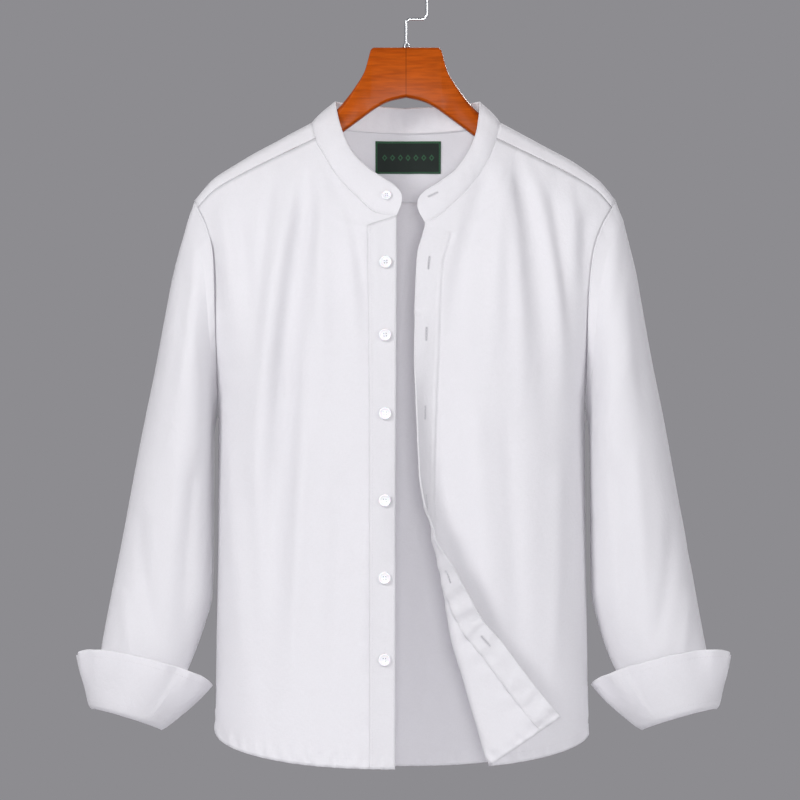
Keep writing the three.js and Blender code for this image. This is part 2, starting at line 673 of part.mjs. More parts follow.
// The collar is one band that stands on the neckline, open in front.
const COLLAR_TOP = table(['run', 'left', 'right', 'y', 'z'], [
  [0, 0, 0, 22, -156], [0.2, 46, 46, 17.5, -153], [0.37, 80, 83, 3, -149.3],
  [0.46, 77, 82, -13, -164], [0.545, 72.5, 79.5, -25, -181], [0.68, 61.5, 70.5, -39, -206],
  [0.805, 43, 56, -52, -226], [0.87, 32, 44, -58, -234], [0.965, 16.5, 26, -64, -243.5],
  [1, 8.5, 17, -66, -247],
]);
const COLLAR_ROUNDING = 13;
const COLLAR_ROWS = 3;
const COLLAR_SWELL = 2.2;
const COLLAR_SLIP = -6;
const COLLAR_FOOT = 0.6;
const COLLAR_END_BULGE = { [LEFT]: 5, [RIGHT]: 6.5 };
const COLLAR_SLIP_START = 0.7;
const COLLAR_BULGE_START = 0.9;

function collarGrid() {
  const base = [
    ...frontPanels[LEFT].slice(1, NECK_ROWS + 1).reverse().map((row) => row[0]),
    ...yokeSpots[0],
    ...frontPanels[RIGHT].slice(1, NECK_ROWS + 1).map((row) => row[0]),
  ];
  const centre = (base.length - 1) / 2;
  const lengthTo = (i) => {
    let sum = 0;
    const direction = i < centre ? -1 : 1;
    for (let k = centre; k !== i; k += direction) {
      sum += base[k].point.distanceTo(base[k + direction].point);
    }
    return sum;
  };
  const whole = { [LEFT]: lengthTo(0), [RIGHT]: lengthTo(base.length - 1) };
  const topY = curveThrough(COLLAR_TOP, 'run', 'y');
  const topZ = curveThrough(COLLAR_TOP, 'run', 'z');
  const topX = {
    [LEFT]: curveThrough(COLLAR_TOP, 'run', 'left'),
    [RIGHT]: curveThrough(COLLAR_TOP, 'run', 'right'),
  };
  const columns = base.map((foot, i) => {
    const hand = i < centre ? LEFT : RIGHT;
    const run = lengthTo(i) / whole[hand];
    const slip = hand === RIGHT ? COLLAR_SLIP * smooth(COLLAR_SLIP_START, 1, run) : 0;
    const top = new THREE.Vector3(hand * topX[hand](run), topY(run), topZ(run) + slip);
    const rise = top.clone().sub(foot.point);
    const fromEnd = whole[hand] - lengthTo(i);
    const inset = Math.max(COLLAR_ROUNDING - fromEnd, 0);
    const cut = COLLAR_ROUNDING - Math.sqrt(Math.max(COLLAR_ROUNDING ** 2 - inset ** 2, 0));
    const height = rise.length();
    return Array.from({ length: COLLAR_ROWS + 1 }, (_, r) => {
      const up = mix(height - cut, COLLAR_FOOT, r / COLLAR_ROWS) / height;
      const swell = COLLAR_SWELL * Math.sin(Math.PI * up);
      const point = foot.point.clone().addScaledVector(rise, up).addScaledVector(foot.normal, swell);
      const bulge = COLLAR_END_BULGE[hand] * smooth(COLLAR_BULGE_START, 1, run);
      point.x -= hand * bulge * Math.sin(Math.PI * up);
      return point;
    });
  });
  return Array.from({ length: COLLAR_ROWS + 1 }, (_, r) => columns.map((column) => column[r]));
}
const collarSpots = withNormals(collarGrid(), false);
const collar = wall('collar', collarSpots, COLLAR_WALL, false, cotton());
shirt.add(collar);

// The sleeves. Each ring has an outer point, an inner point and a half depth.
const SLEEVE = table(['outX', 'outZ', 'inX', 'inZ', 'depth', 'back', 'own'], [
  [245.5, -283, 209.5, -511, 46, 0, 0.75], [254.5, -317, 211, -521, 54, 1, 0.45],
  [262.5, -351, 211.5, -535, 59, 2, 0.2], [272.5, -402, 211.8, -557, 61, 4, 0],
  [282.5, -455, 212, -586, 61, 6, 0], [295.5, -520, 212.2, -624, 59, 8, 0],
  [309, -590, 212.5, -666, 56, 9, 0], [321, -655, 214, -706, 52, 10, 0],
  [332, -713, 222.5, -741, 48, 10, 0], [341, -760, 236, -779, 43, 9, 0],
  [346.5, -795, 254, -815, 37, 8, 0], [350, -820, 274.5, -841, 31, 8, 0],
]);
const SLEEVE_DRIFT_SHARE = 0.45;
const INNER_SETBACK_SHARE = 0.4;

// The armhole's points, from the front yoke seam down, under the arm and up behind.
function armholeLoop(hand) {
  const places = [frontSeamPlace(hand, 1)];
  for (let r = 1; r <= ARM_FRONT_ROWS; r += 1) {
    const z = mix(frontArmTop, UNDERARM_Z, r / ARM_FRONT_ROWS);
    const place = ownPlace(hand * armholeAt(z), z, FRONT);
    places.push(r === ARM_FRONT_ROWS ? { tau: hand, way: place.way } : place);
  }
  for (let r = ARM_BACK_ROWS - 1; r >= 0; r -= 1) {
    const z = mix(BACK_SEAM.armZ, UNDERARM_Z, r / ARM_BACK_ROWS);
    places.push(ownPlace(hand * armholeAt(z), z, BACK));
  }
  YOKE_ARM_WAYS.forEach((way) => {
    const { x, z } = armholePlace(way);
    places.push({ tau: hand * tauAt(x / halfWidthAt(z)), way });
  });
  return places.map(({ tau, way }) => bodyPoint(tau, way));
}

function sleeveRings(hand) {
  const loop = armholeLoop(hand);
  const tip = loop.reduce((best, point) => (point.z > best.z ? point : best));
  const foot = loop[ARM_FRONT_ROWS];
  const fall = tip.z - foot.z;
  const deepest = Math.max(...loop.map((point) => Math.abs(point.y)));
  const marks = loop.map((point) => {
    const f = (tip.z - point.z) / fall;
    return {
      f,
      side: Math.sign(point.y),
      bow: point.x - mix(tip.x, foot.x, f),
      thick: point.y / deepest,
    };
  });
  const first = loop.map((point) => {
    const toMiddle = new THREE.Vector3(0, -point.y, mix(tip.z, foot.z, 0.5) - point.z).normalize();
    const outer = point.clone();
    outer.x += hand * ARMHOLE_GAP;
    return { point: outer, normal: toMiddle.negate() };
  });
  const rings = SLEEVE.map((row) => {
    const out = new THREE.Vector3(
      hand * row.outX + driftAt(row.outZ) * SLEEVE_DRIFT_SHARE, row.back, row.outZ);
    const inX = hand * row.inX + driftAt(row.inZ);
    const inn = new THREE.Vector3(inX, row.back * INNER_SETBACK_SHARE, row.inZ);
    return marks.map(({ f, side, bow, thick }) => {
      const round = Math.sqrt(Math.max(1 - (2 * f - 1) ** 2, 0)) * side;
      const point = out.clone().lerp(inn, f);
      point.x += bow * row.own;
      point.y += row.depth * mix(round, thick, row.own);
      return point;
    });
  });
  const later = withNormals([first.map((spot) => spot.point), ...rings], true).slice(1);
  const outward = later.map((ring) => ring.map(({ point, normal }) => ({
    point, normal: normal.multiplyScalar(hand),
  })));
  return [first, ...outward];
}

const sleeves = { [LEFT]: sleeveRings(LEFT), [RIGHT]: sleeveRings(RIGHT) };
shirt.add(wall('sleeve_right', sleeves[LEFT], CLOTH, true, cotton()));
shirt.add(wall('sleeve_left', sleeves[RIGHT], CLOTH, true, cotton()));

// The cuffs are turned back: up inside from the sleeve's end to the fold, round it, and up
// outside to the flared free edge. The front of the free edge stands higher.
const CUFF = table(['outX', 'outZ', 'inX', 'inZ', 'depth', 'back', 'lift'], [
  [348.8, -821.4, 275.9, -841.9, 29.6, 8, 0], [350, -831, 275.6, -852, 32, 8, 3],
  [353, -836.5, 272, -859.5, 36, 8, 5.5], [356.5, -833, 266.5, -857, 41, 8, 6.5],
  [362, -811, 245, -840, 48, 7, 11], [367, -792, 227, -824, 53, 6, 15],
  [369.4, -775, 213.4, -809.5, 57, 5, 18.5],
]);
const CUFF_COLUMNS = 24;

function cuffSpots(hand) {
  const rings = CUFF.map((row) => Array.from({ length: CUFF_COLUMNS }, (_, c) => {
    const angle = (2 * Math.PI * c) / CUFF_COLUMNS;
    const f = (1 - Math.cos(angle)) / 2;
    const drift = mix(driftAt(row.outZ) * SLEEVE_DRIFT_SHARE, driftAt(row.inZ), f);
    const x = hand * mix(row.outX, row.inX, f) + drift;
    const z = mix(row.outZ, row.inZ, f) + row.lift * Math.max(Math.sin(angle), 0);
    return new THREE.Vector3(x, mix(row.back, 0, f) - row.depth * Math.sin(angle), z);
  }));
  const spots = withNormals(rings, true);
  const centre = new THREE.Vector3();
  rings[0].forEach((point) => centre.addScaledVector(point, 1 / CUFF_COLUMNS));
  const last = spots.length - 1;
  const radial = spots[last][0].point.clone().sub(centre);
  const flip = spots[last][0].normal.dot(radial) < 0 ? -1 : 1;
  return spots.map((ring) => ring.map(({ point, normal }) => ({
    point, normal: normal.multiplyScalar(flip),
  })));
}
shirt.add(wall('cuff_right', cuffSpots(LEFT), CUFF_WALL, true, cotton()));
shirt.add(wall('cuff_left', cuffSpots(RIGHT), CUFF_WALL, true, cotton()));

// Buttons: a rim around a shallow dish, as a shell button has.
const BUTTON_HEIGHTS = [-333.4, -414.1, -501.4, -598.1, -684.1, -775.1];
const BUTTON_BACKSET = 12;

function button(name, radius, { point, normal }, lift) {
  const profile = table(['r', 'z'], [
    [0, 0], [0.72, 0], [1, 0.42], [0.96, 0.86], [0.8, 1], [0.6, 0.78], [0, 0.74],
  ]).map(({ r, z }) => new THREE.Vector2(r * radius, z * BUTTON_THICKNESS));
  const turned = new THREE.LatheGeometry(profile, 12);
  turned.rotateX(Math.PI / 2);
  const mesh = new THREE.Mesh(turned, new THREE.MeshStandardMaterial({
    color: 0xf1f0f4, roughness: 0.3, metalness: 0,
  }));
  mesh.name = name;
  mesh.quaternion.setFromUnitVectors(new THREE.Vector3(0, 0, 1), normal);
  mesh.position.copy(point).addScaledVector(normal, lift);
  return mesh;
}

const IN_FRONT_Y = -500;
const COLLAR_BUTTON = { x: -21.6, z: -258.7, lift: LAY_GAP + 0.5 };
const BUTTON_CLEAR = 0.15;
const BUTTON_LIFT = LAY_GAP + BAND_CLOTH + LAY_GAP + BUTTON_CLEAR;

// The place on the collar's outer face that a level line from the front meets.
function collarSpotAt(x, z) {
  const start = new THREE.Vector3(x, IN_FRONT_Y, z);
  const ray = new THREE.Raycaster(start, new THREE.Vector3(0, 1, 0));
  const [hit] = ray.intersectObject(collar);
  return { point: hit.point, normal: hit.face.normal.clone() };
}

const collarSpot = collarSpotAt(COLLAR_BUTTON.x, COLLAR_BUTTON.z);
shirt.add(button('button_1', COLLAR_BUTTON_RADIUS, collarSpot, COLLAR_BUTTON.lift));
BUTTON_HEIGHTS.forEach((z, i) => {
  const place = placeOf(frontEdgeAt[LEFT](z) - BUTTON_BACKSET, z, FRONT);
  shirt.add(button(`button_${i + 2}`, BUTTON_RADIUS, bodySpot(place), BUTTON_LIFT));
});

// The label is a plain patch on the inside of the back yoke.
const LABEL = { left: -35, right: 40, top: -191.2, bottom: -227.4, cloth: 0.8, gap: 0.55 };
const LABEL_ROWS = 3;
const LABEL_COLUMNS = 6;
const labelSpots = Array.from({ length: LABEL_ROWS + 1 }, (_, r) => (
  Array.from({ length: LABEL_COLUMNS + 1 }, (__, c) => {
    const x = mix(LABEL.left, LABEL.right, c / LABEL_COLUMNS);
    const z = mix(LABEL.top, LABEL.bottom, r / LABEL_ROWS);
    return bodySpot(placeOf(x, z, BACK));
  })));
const green = new THREE.MeshStandardMaterial({ color: 0x14201a, roughness: 0.8, metalness: 0 });
shirt.add(wall('label', labelSpots, LABEL.cloth, false, green, -CLOTH - LABEL.gap));

// The hanger: a broad head between two arms that lie under the shoulders.
const HANGER = table(['x', 'top', 'bottom', 'half', 'round'], [
  [0, -88.8, -144.7, 9.5, 3.4], [18.5, -88.8, -149, 9.5, 3.4], [36, -88.8, -158, 9.5, 3.4],
  [39.5, -91, -160.5, 9.5, 3.4], [43, -103, -163, 9.5, 3.4], [47, -116, -166, 9.6, 3.6],
  [56.5, -131.8, -173, 10, 5], [66, -144.8, -180, 10.2, 7.5], [78, -158.5, -189, 10.3, 9.6],
  [88, -166.5, -196.5, 10.4, 10], [100, -175, -204.5, 10.6, 10.2], [112, -179, -210, 11, 10.6],
]);
const HANGER_REACH = 207;
const HANGER_TIP_HEIGHT = 15;
const HANGER_TIP_DROP = 3;
const HANGER_TIP_START = 0.93;
const HANGER_TIP_NARROWING = 0.35;
const HANGER_ROUND_MARGIN = 0.4;
const HANGER_ROUND_SHARE = 0.7;
const ARM_CLEAR = CLOTH + LAY_GAP + 0.6;
const ARM_BLEND_SHARE = 0.15;
const HANGER_LOWER_BEVEL = 3.4;
const HANGER_HALF = 11.4;
const HANGER_ARM_STATIONS = [122, 134, 148, 163, 179, 193, 203, HANGER_REACH];

function hangerSection(x) {
  const reach = Math.abs(x);
  const last = HANGER[HANGER.length - 1];
  if (reach <= last.x) {
    const value = (key) => curveThrough(HANGER, 'x', key)(reach);
    return {
      top: value('top'), bottom: value('bottom'), half: value('half'), round: value('round'),
    };
  }
  const t = (reach - last.x) / (HANGER_REACH - last.x);
  const height = mix(last.top - last.bottom, HANGER_TIP_HEIGHT, t);
  const ease = smooth(0, ARM_BLEND_SHARE, t);
  const atTip = smooth(HANGER_TIP_START, 1, t);
  const slope = (ridgeAt(reach + 1) - ridgeAt(reach - 1)) / 2;
  const under = ridgeAt(reach) - ARM_CLEAR * Math.hypot(1, slope);
  const top = Math.min(under, mix(last.top, under, ease));
  const half = HANGER_HALF * (1 - HANGER_TIP_NARROWING * atTip);
  const round = half - HANGER_ROUND_MARGIN;
  return { top: top - HANGER_TIP_DROP * atTip, bottom: top - height, half, round };
}

function hangerMesh() {
  const stations = [...HANGER.map((row) => row.x), 9, 28, 51, ...HANGER_ARM_STATIONS];
  stations.sort((a, b) => a - b);
  const all = [...stations.slice(1).map((x) => -x).reverse(), ...stations];
  const positions = [];
  const faces = [];
  const outline = (x) => {
    const { top, bottom, half, round } = hangerSection(x);
    const points = [];
    const corners = [[1, 1], [1, -1], [-1, -1], [-1, 1]];
    corners.forEach(([ySign, zSign], i) => {
      const base = (Math.PI / 2) * (1 - i);
      const bevel = zSign > 0 ? Math.min(round, (top - bottom) * HANGER_ROUND_SHARE) : HANGER_LOWER_BEVEL;
      const centreZ = zSign > 0 ? top - bevel : bottom + bevel;
      for (const turn of [0, 1 / 3, 2 / 3, 1]) {
        const angle = base - (Math.PI / 2) * turn;
        const y = ySign * (half - bevel) + bevel * Math.cos(angle);
        points.push([y, centreZ + bevel * Math.sin(angle)]);
      }
    });
    return points;
  };
  all.forEach((x) => outline(x).forEach(([y, z]) => positions.push(x, y, z)));
  const around = 16;
  for (let s = 0; s < all.length - 1; s += 1) {
    for (let i = 0; i < around; i += 1) {
      const [a, b] = [s * around + i, s * around + ((i + 1) % around)];
      faces.push(a, b, b + around, a, b + around, a + around);
    }
  }
  const end = (all.length - 1) * around;
  for (let i = 1; i < around - 1; i += 1) {
    faces.push(0, i + 1, i, end, end + i, end + i + 1);
  }
  const wood = new THREE.MeshStandardMaterial({ color: 0xb4561c, roughness: 0.35, metalness: 0 });
  return solid('hanger', positions, faces, wood);
}
shirt.add(hangerMesh());

// The hook: one steel wire, up from the head, out to the right and over in a loop.
const HOOK = { foot: -88.4, bendZ: -56.4, bend: 5.5, loopZ: WIRE_RADIUS - HOOK_LOOP_RADIUS };

function hookPath() {
  const path = new THREE.CurvePath();
  const R = HOOK_LOOP_RADIUS;
  const at = (x, z) => new THREE.Vector3(x, 0, z);
  const bend = (from, corner, to) => path.add(new THREE.QuadraticBezierCurve3(from, corner, to));
  const straight = (from, to) => path.add(new THREE.LineCurve3(from, to));
  straight(at(0, HOOK.foot), at(0, HOOK.bendZ - HOOK.bend));
  bend(at(0, HOOK.bendZ - HOOK.bend), at(0, HOOK.bendZ), at(HOOK.bend, HOOK.bendZ));
  straight(at(HOOK.bend, HOOK.bendZ), at(R - HOOK.bend, HOOK.bendZ));
  bend(at(R - HOOK.bend, HOOK.bendZ), at(R, HOOK.bendZ), at(R, HOOK.bendZ + HOOK.bend));
  straight(at(R, HOOK.bendZ + HOOK.bend), at(R, HOOK.loopZ));
  const turns = 8;
  for (let i = 0; i < turns; i += 1) {
    const [a, b] = [(Math.PI * i) / turns, (Math.PI * (i + 1)) / turns];
    const reach = R / Math.cos((b - a) / 2);
    const middle = at(reach * Math.cos((a + b) / 2), HOOK.loopZ + reach * Math.sin((a + b) / 2));
    const on = (angle) => at(R * Math.cos(angle), HOOK.loopZ + R * Math.sin(angle));
    bend(on(a), middle, on(b));
  }
  straight(at(-R, HOOK.loopZ), at(-R, HOOK.loopZ - 9));
  return path;
}

function steel() {
  return new THREE.MeshStandardMaterial({ color: 0xb9bcc0, roughness: 0.25, metalness: 1 });
}

const wire = new THREE.Shape();
wire.absarc(0, 0, WIRE_RADIUS, 0, 2 * Math.PI, false);
const hook = new THREE.Mesh(new THREE.ExtrudeGeometry(wire, {
  steps: 44, curveSegments: 4, extrudePath: hookPath(), bevelEnabled: false,
}), steel());
hook.name = 'hook';
shirt.add(hook);

const ferruleBore = WIRE_RADIUS + LAY_GAP;
const ferruleProfile = table(['r', 'z'], [
  [ferruleBore, 0], [4.2, 0], [4.2, 1.2], [3.4, 4.6], [ferruleBore, 4.6], [ferruleBore, 0],
]).map(({ r, z }) => new THREE.Vector2(r, z));
const ferrule = new THREE.Mesh(new THREE.LatheGeometry(ferruleProfile, 16), steel());
ferrule.rotation.x = Math.PI / 2;
ferrule.position.z = -88.5;
ferrule.name = 'hook_ferrule';
shirt.add(ferrule);

export default shirt;
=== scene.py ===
import math

import bmesh
import bpy
import numpy as np
from mathutils import Matrix, Vector


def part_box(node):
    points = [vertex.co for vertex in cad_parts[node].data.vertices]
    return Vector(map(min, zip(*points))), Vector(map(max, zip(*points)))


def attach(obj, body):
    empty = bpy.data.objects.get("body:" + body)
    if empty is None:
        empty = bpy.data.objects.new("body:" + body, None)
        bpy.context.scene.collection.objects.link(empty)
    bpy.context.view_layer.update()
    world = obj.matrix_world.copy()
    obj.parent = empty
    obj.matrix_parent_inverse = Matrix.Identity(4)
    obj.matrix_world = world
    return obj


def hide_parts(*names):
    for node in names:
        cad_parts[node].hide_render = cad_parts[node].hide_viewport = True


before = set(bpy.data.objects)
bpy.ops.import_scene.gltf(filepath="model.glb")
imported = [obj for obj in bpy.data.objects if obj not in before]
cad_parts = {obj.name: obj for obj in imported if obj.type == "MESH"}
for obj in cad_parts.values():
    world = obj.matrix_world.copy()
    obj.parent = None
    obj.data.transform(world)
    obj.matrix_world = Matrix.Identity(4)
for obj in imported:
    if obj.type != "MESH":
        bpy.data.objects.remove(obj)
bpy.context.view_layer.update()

# The camera stands five metres off at the height of the chest, with a long lens, so the
# shirt is seen square on, as it is in the photograph.
camera_data = bpy.data.cameras.new("camera")
camera_data.lens = 200
camera_data.sensor_width = 36
camera_data.clip_end = 50
camera = bpy.data.objects.new("camera", camera_data)
camera.location = (-0.0068, -5.022, -0.4866)
camera.rotation_euler = (math.radians(90), 0, 0)
bpy.context.scene.collection.objects.link(camera)
bpy.context.scene.camera = camera
bpy.context.scene.view_settings.view_transform = "Standard"

# The hook: drawn steel wire, bright zinc plated, bent cold and screwed into the head.
# It goes up, out to the right and over in a loop; its tip is cut and rounded.
# The plating gives a clear, slightly soft reflection with faint lines along the wire.
WIRE_RADIUS = 1.9
LOOP_RADIUS = 23.5
LOOP_Z = WIRE_RADIUS - LOOP_RADIUS
HOOK_FOOT, HOOK_BEND_Z, HOOK_BEND = -88.4, -56.4, 5.5


def linear(colour, alpha=1.0):
    """The linear colour of a hex code."""
    parts = [int(colour[i:i + 2], 16) / 255 for i in (1, 3, 5)]
    return tuple(c / 12.92 if c <= 0.04045 else ((c + 0.055) / 1.055) ** 2.4 for c in parts) + (alpha,)


def add(tree, kind, inputs=None, **settings):
    """Adds a node with its settings; an input is a value, or a socket to link from."""
    made = tree.nodes.new(kind)
    for key, value in settings.items():
        setattr(made, key, value)
    for key, value in (inputs or {}).items():
        if isinstance(value, bpy.types.NodeSocket):
            tree.links.new(value, made.inputs[key])
        else:
            made.inputs[key].default_value = value
    return made


def new_material(name):
    """A material with only its output; gives the material, its tree and the output."""
    material = bpy.data.materials.new(name)
    material.use_nodes = True
    tree = material.node_tree
    tree.nodes.clear()
    return material, tree, tree.nodes.new("ShaderNodeOutputMaterial")


def steel_material():
    material, tree, output = new_material("zinc_plated_steel")
    place = add(tree, "ShaderNodeTexCoord").outputs["Object"]
    streaks = add(tree, "ShaderNodeTexNoise", {"Vector": place, "Scale": 420, "Detail": 3})
    rough = add(tree, "ShaderNodeMapRange", {
        "Value": streaks.outputs["Fac"], "To Min": 0.16, "To Max": 0.3})
    bump = add(tree, "ShaderNodeBump", {
        "Height": streaks.outputs["Fac"], "Strength": 0.05, "Distance": 0.0002})
    surface = add(tree, "ShaderNodeBsdfPrincipled", {
        "Base Color": linear("#c3c5c8"), "Metallic": 1.0,
        "Roughness": rough.outputs["Result"], "Normal": bump.outputs["Normal"]})
    tree.links.new(surface.outputs["BSDF"], output.inputs["Surface"])
    return material


def placed(piece, slot, *nodes):
    """Says what a piece rides on and hides the plain solids it stands for; slot, its finish, is not used."""
    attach(piece, "root")
    for node in nodes:
        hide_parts(node)
    return piece


def arc(centre_x, centre_z, radius, start, end, count):
    """Points of an arc in the plane of the hook, by degrees."""
    angles = np.radians(np.linspace(start, end, count))
    return [(centre_x + radius * math.cos(a), centre_z + radius * math.sin(a)) for a in angles]


steel = steel_material()
inner_x = LOOP_RADIUS - HOOK_BEND
hook_path = [
    (0, HOOK_FOOT),
    *arc(HOOK_BEND, HOOK_BEND_Z - HOOK_BEND, HOOK_BEND, 180, 90, 10),
    *arc(inner_x, HOOK_BEND_Z + HOOK_BEND, HOOK_BEND, -90, 0, 10),
    *arc(0, LOOP_Z, LOOP_RADIUS, 0, 180, 60),
    (-LOOP_RADIUS, LOOP_Z - 8.2), (-LOOP_RADIUS, LOOP_Z - 8.7), (-LOOP_RADIUS, LOOP_Z - 9),
]
wire = bpy.data.curves.new("hook", "CURVE")
wire.dimensions = "3D"
wire.bevel_depth = WIRE_RADIUS / 1000
wire.bevel_resolution = 5
wire.use_fill_caps = True
spline = wire.splines.new("POLY")
spline.points.add(len(hook_path) - 1)
for point, (x, z) in zip(spline.points, hook_path):
    point.co = (x / 1000, 0, z / 1000, 1)
    point.radius = 1
spline.points[-2].radius = 0.86
spline.points[-1].radius = 0.5
spline.use_smooth = True
hook = bpy.data.objects.new("hook_wire", wire)
bpy.context.scene.collection.objects.link(hook)
wire.materials.append(steel)
placed(hook, "steel", "hook")

# The ferrule: a small turned steel collar pressed on where the wire enters the wood.
# Its bright lip catches a thin ring of light above the varnish.
FERRULE_Z = -88.5


def lathe(name, profile, segments, material):
    """A turned piece: its profile of (radius, height) in mm, spun once about Z."""
    bm = bmesh.new()
    points = [bm.verts.new((r / 1000, 0, z / 1000)) for r, z in profile]
    edges = [bm.edges.new(pair) for pair in zip(points, points[1:])]
    bmesh.ops.spin(
        bm, geom=points + edges, cent=(0, 0, 0), axis=(0, 0, 1), angle=2 * math.pi,
        steps=segments, use_merge=True)
    bmesh.ops.remove_doubles(bm, verts=bm.verts, dist=1e-7)
    bmesh.ops.recalc_face_normals(bm, faces=bm.faces)
    mesh = bpy.data.meshes.new(name)
    bm.to_mesh(mesh)
    bm.free()
    mesh.shade_smooth()
    mesh.materials.append(material)
    piece = bpy.data.objects.new(name, mesh)
    bpy.context.scene.collection.objects.link(piece)
    return piece


bore = WIRE_RADIUS + 0.3
ferrule = lathe("ferrule", [
    (bore, 0), (4.2, 0), (4.25, 0.5), (4.0, 1.2), (3.6, 2.2), (3.4, 3.8), (3.1, 4.5),
    (2.6, 4.6), (bore, 4.4), (bore, 0),
], 48, steel)
ferrule.data.transform(Matrix.Translation((0, 0, FERRULE_Z / 1000)))
placed(ferrule, "steel", "hook_ferrule")

# The hanger: beech, shaped on a spindle moulder, stained orange brown and lacquered.
# A broad flat-topped head with hollow sides runs into two round-topped arms; the two
# halves are glued together at the middle, which leaves a fine line.
HANGER = [  # x, top, bottom, half depth, roundness of the top
    (0, -88.8, -144.7, 9.5, 3.4), (18.5, -88.8, -149, 9.5, 3.4), (36, -88.8, -158, 9.5, 3.4),
    (39.5, -91, -160.5, 9.5, 3.4), (43, -103, -163, 9.5, 3.4), (47, -116, -166, 9.6, 3.6),
    (56.5, -131.8, -173, 10, 5), (66, -144.8, -180, 10.2, 7.5), (78, -158.5, -189, 10.3, 9.6),
    (88, -166.5, -196.5, 10.4, 10), (100, -175, -204.5, 10.6, 10.2),
    (112, -179, -210, 11, 10.6),
]
HANGER_REACH, HANGER_TIP, HANGER_HALF, ARM_CLEAR = 207, 15, 11.4, 2.2
LOWER_BEVEL = 3.4
RIDGE = [  # distance from the middle, height of the shoulder line
    (0, -140), (50, -150), (85, -162.5), (107, -173.5), (122, -181.5), (164, -204),
    (203, -226.7), (218, -238), (228, -249), (237, -261),
]


def curve(rows, column=1, key=0):
    """A smooth curve through two columns of a table, with no overshoot between its rows."""
    data = np.array(sorted((row[key], row[column]) for row in rows), float)
    xs, ys = data[:, 0], data[:, 1]
    steps = np.diff(ys) / np.diff(xs)
    slopes = np.empty_like(ys)
    slopes[0], slopes[-1] = steps[0], steps[-1]
    product, total = steps[:-1] * steps[1:], steps[:-1] + steps[1:]
    slopes[1:-1] = np.where(product > 0, 2 * product / np.where(product > 0, total, 1), 0)

    def at(x):
        x = np.clip(x, xs[0], xs[-1])
        i = np.clip(np.searchsorted(xs, x, side="right") - 1, 0, len(xs) - 2)
        width = xs[i + 1] - xs[i]
        t = (x - xs[i]) / width
        rise = slopes[i] * t * (1 - t) ** 2 - slopes[i + 1] * t * t * (1 - t)
        return ys[i] * (1 + 2 * t) * (1 - t) ** 2 + ys[i + 1] * t * t * (3 - 2 * t) + width * rise

    return at


def mix(a, b, t):
    return a + (b - a) * t


def smooth(start, end, value):
    """Eases from 0 at start to 1 at end."""
    t = np.clip((value - start) / (end - start), 0, 1)
    return t * t * (3 - 2 * t)


def surface(name, points, size, material, closed=False, outward=None):
    """A mesh over rows of points in mm, with a UV map in metres over its flat size in mm.

    outward is a direction, or one for each point, that the faces look to."""
    rows, columns = points.shape[0] - 1, points.shape[1] - 1
    bm = bmesh.new()
    bmesh.ops.create_grid(bm, x_segments=columns, y_segments=rows, size=1)
    uv = bm.loops.layers.uv.new("UVMap")
    for face in bm.faces:
        for loop in face.loops:
            u, v = (loop.vert.co.x + 1) / 2, (loop.vert.co.y + 1) / 2
            loop[uv].uv = (u * size[0] / 1000, v * size[1] / 1000)
    mesh = bpy.data.meshes.new(name)
    bm.to_mesh(mesh)
    bm.free()
    flat = points[::-1].reshape(-1, 3) / 1000
    mesh.vertices.foreach_set("co", flat.ravel())
    mesh.update()
    if outward is not None:
        facing = np.empty(3 * len(flat))
        mesh.vertices.foreach_get("normal", facing)
        wanted = np.broadcast_to(outward, points.shape)[::-1].reshape(-1, 3)
        if (facing.reshape(-1, 3) * wanted).sum() < 0:
            mesh.flip_normals()
    if closed:
        bm = bmesh.new()
        bm.from_mesh(mesh)
        bmesh.ops.remove_doubles(bm, verts=bm.verts, dist=1e-6)
        bm.to_mesh(mesh)
        bm.free()
    mesh.shade_smooth()
    mesh.materials.append(material)
    piece = bpy.data.objects.new(name, mesh)
    bpy.context.scene.collection.objects.link(piece)
    return piece


ridge_at = curve(RIDGE)


def hanger_section(x):
    """Top, bottom, half depth and roundness of the hanger at each x."""
    reach = np.abs(x)
    last = HANGER[-1]
    t = np.clip((reach - last[0]) / (HANGER_REACH - last[0]), 0, 1)
    slope = (ridge_at(reach + 1) - ridge_at(reach - 1)) / 2
    under = ridge_at(reach) - ARM_CLEAR * np.hypot(1, slope)
    end = smooth(0.93, 1, t)
    arm_top = np.minimum(under, mix(last[1], under, smooth(0, 0.15, t)))
    arm_half = HANGER_HALF * (1 - 0.35 * end)
    arm_bottom = arm_top - mix(last[1] - last[2], HANGER_TIP, t)
    arm = [arm_top - 3 * end, arm_bottom, arm_half, arm_half - 0.4]
    head = [curve(HANGER, column)(reach) for column in (1, 2, 3, 4)]
    return [np.where(reach <= last[0], h, a) for h, a in zip(head, arm)]


def hanger_points():
    xs = np.linspace(-HANGER_REACH, HANGER_REACH, 301)
    top, bottom, half, rounding = hanger_section(xs)
    upper = np.minimum(rounding, (top - bottom) * 0.7)
    ring = []
    for y_sign, z_sign, start in ((1, 1, 90), (1, -1, 0), (-1, -1, -90), (-1, 1, -180)):
        bevel = upper if z_sign > 0 else np.full_like(xs, LOWER_BEVEL)
        centre = top - bevel if z_sign > 0 else bottom + bevel
        for turn in np.radians(start - np.linspace(0, 90, 9)):
            y = y_sign * (half - bevel) + bevel * math.cos(turn)
            ring.append(np.stack([xs, y, centre + bevel * math.sin(turn)], -1))
    ring.append(ring[0])
    points = np.stack(ring, 1)
    ends = [np.repeat(points[i].mean(0)[None, None], points.shape[1], 1) for i in (0, -1)]
    return np.concatenate([ends[0], points, ends[1]])


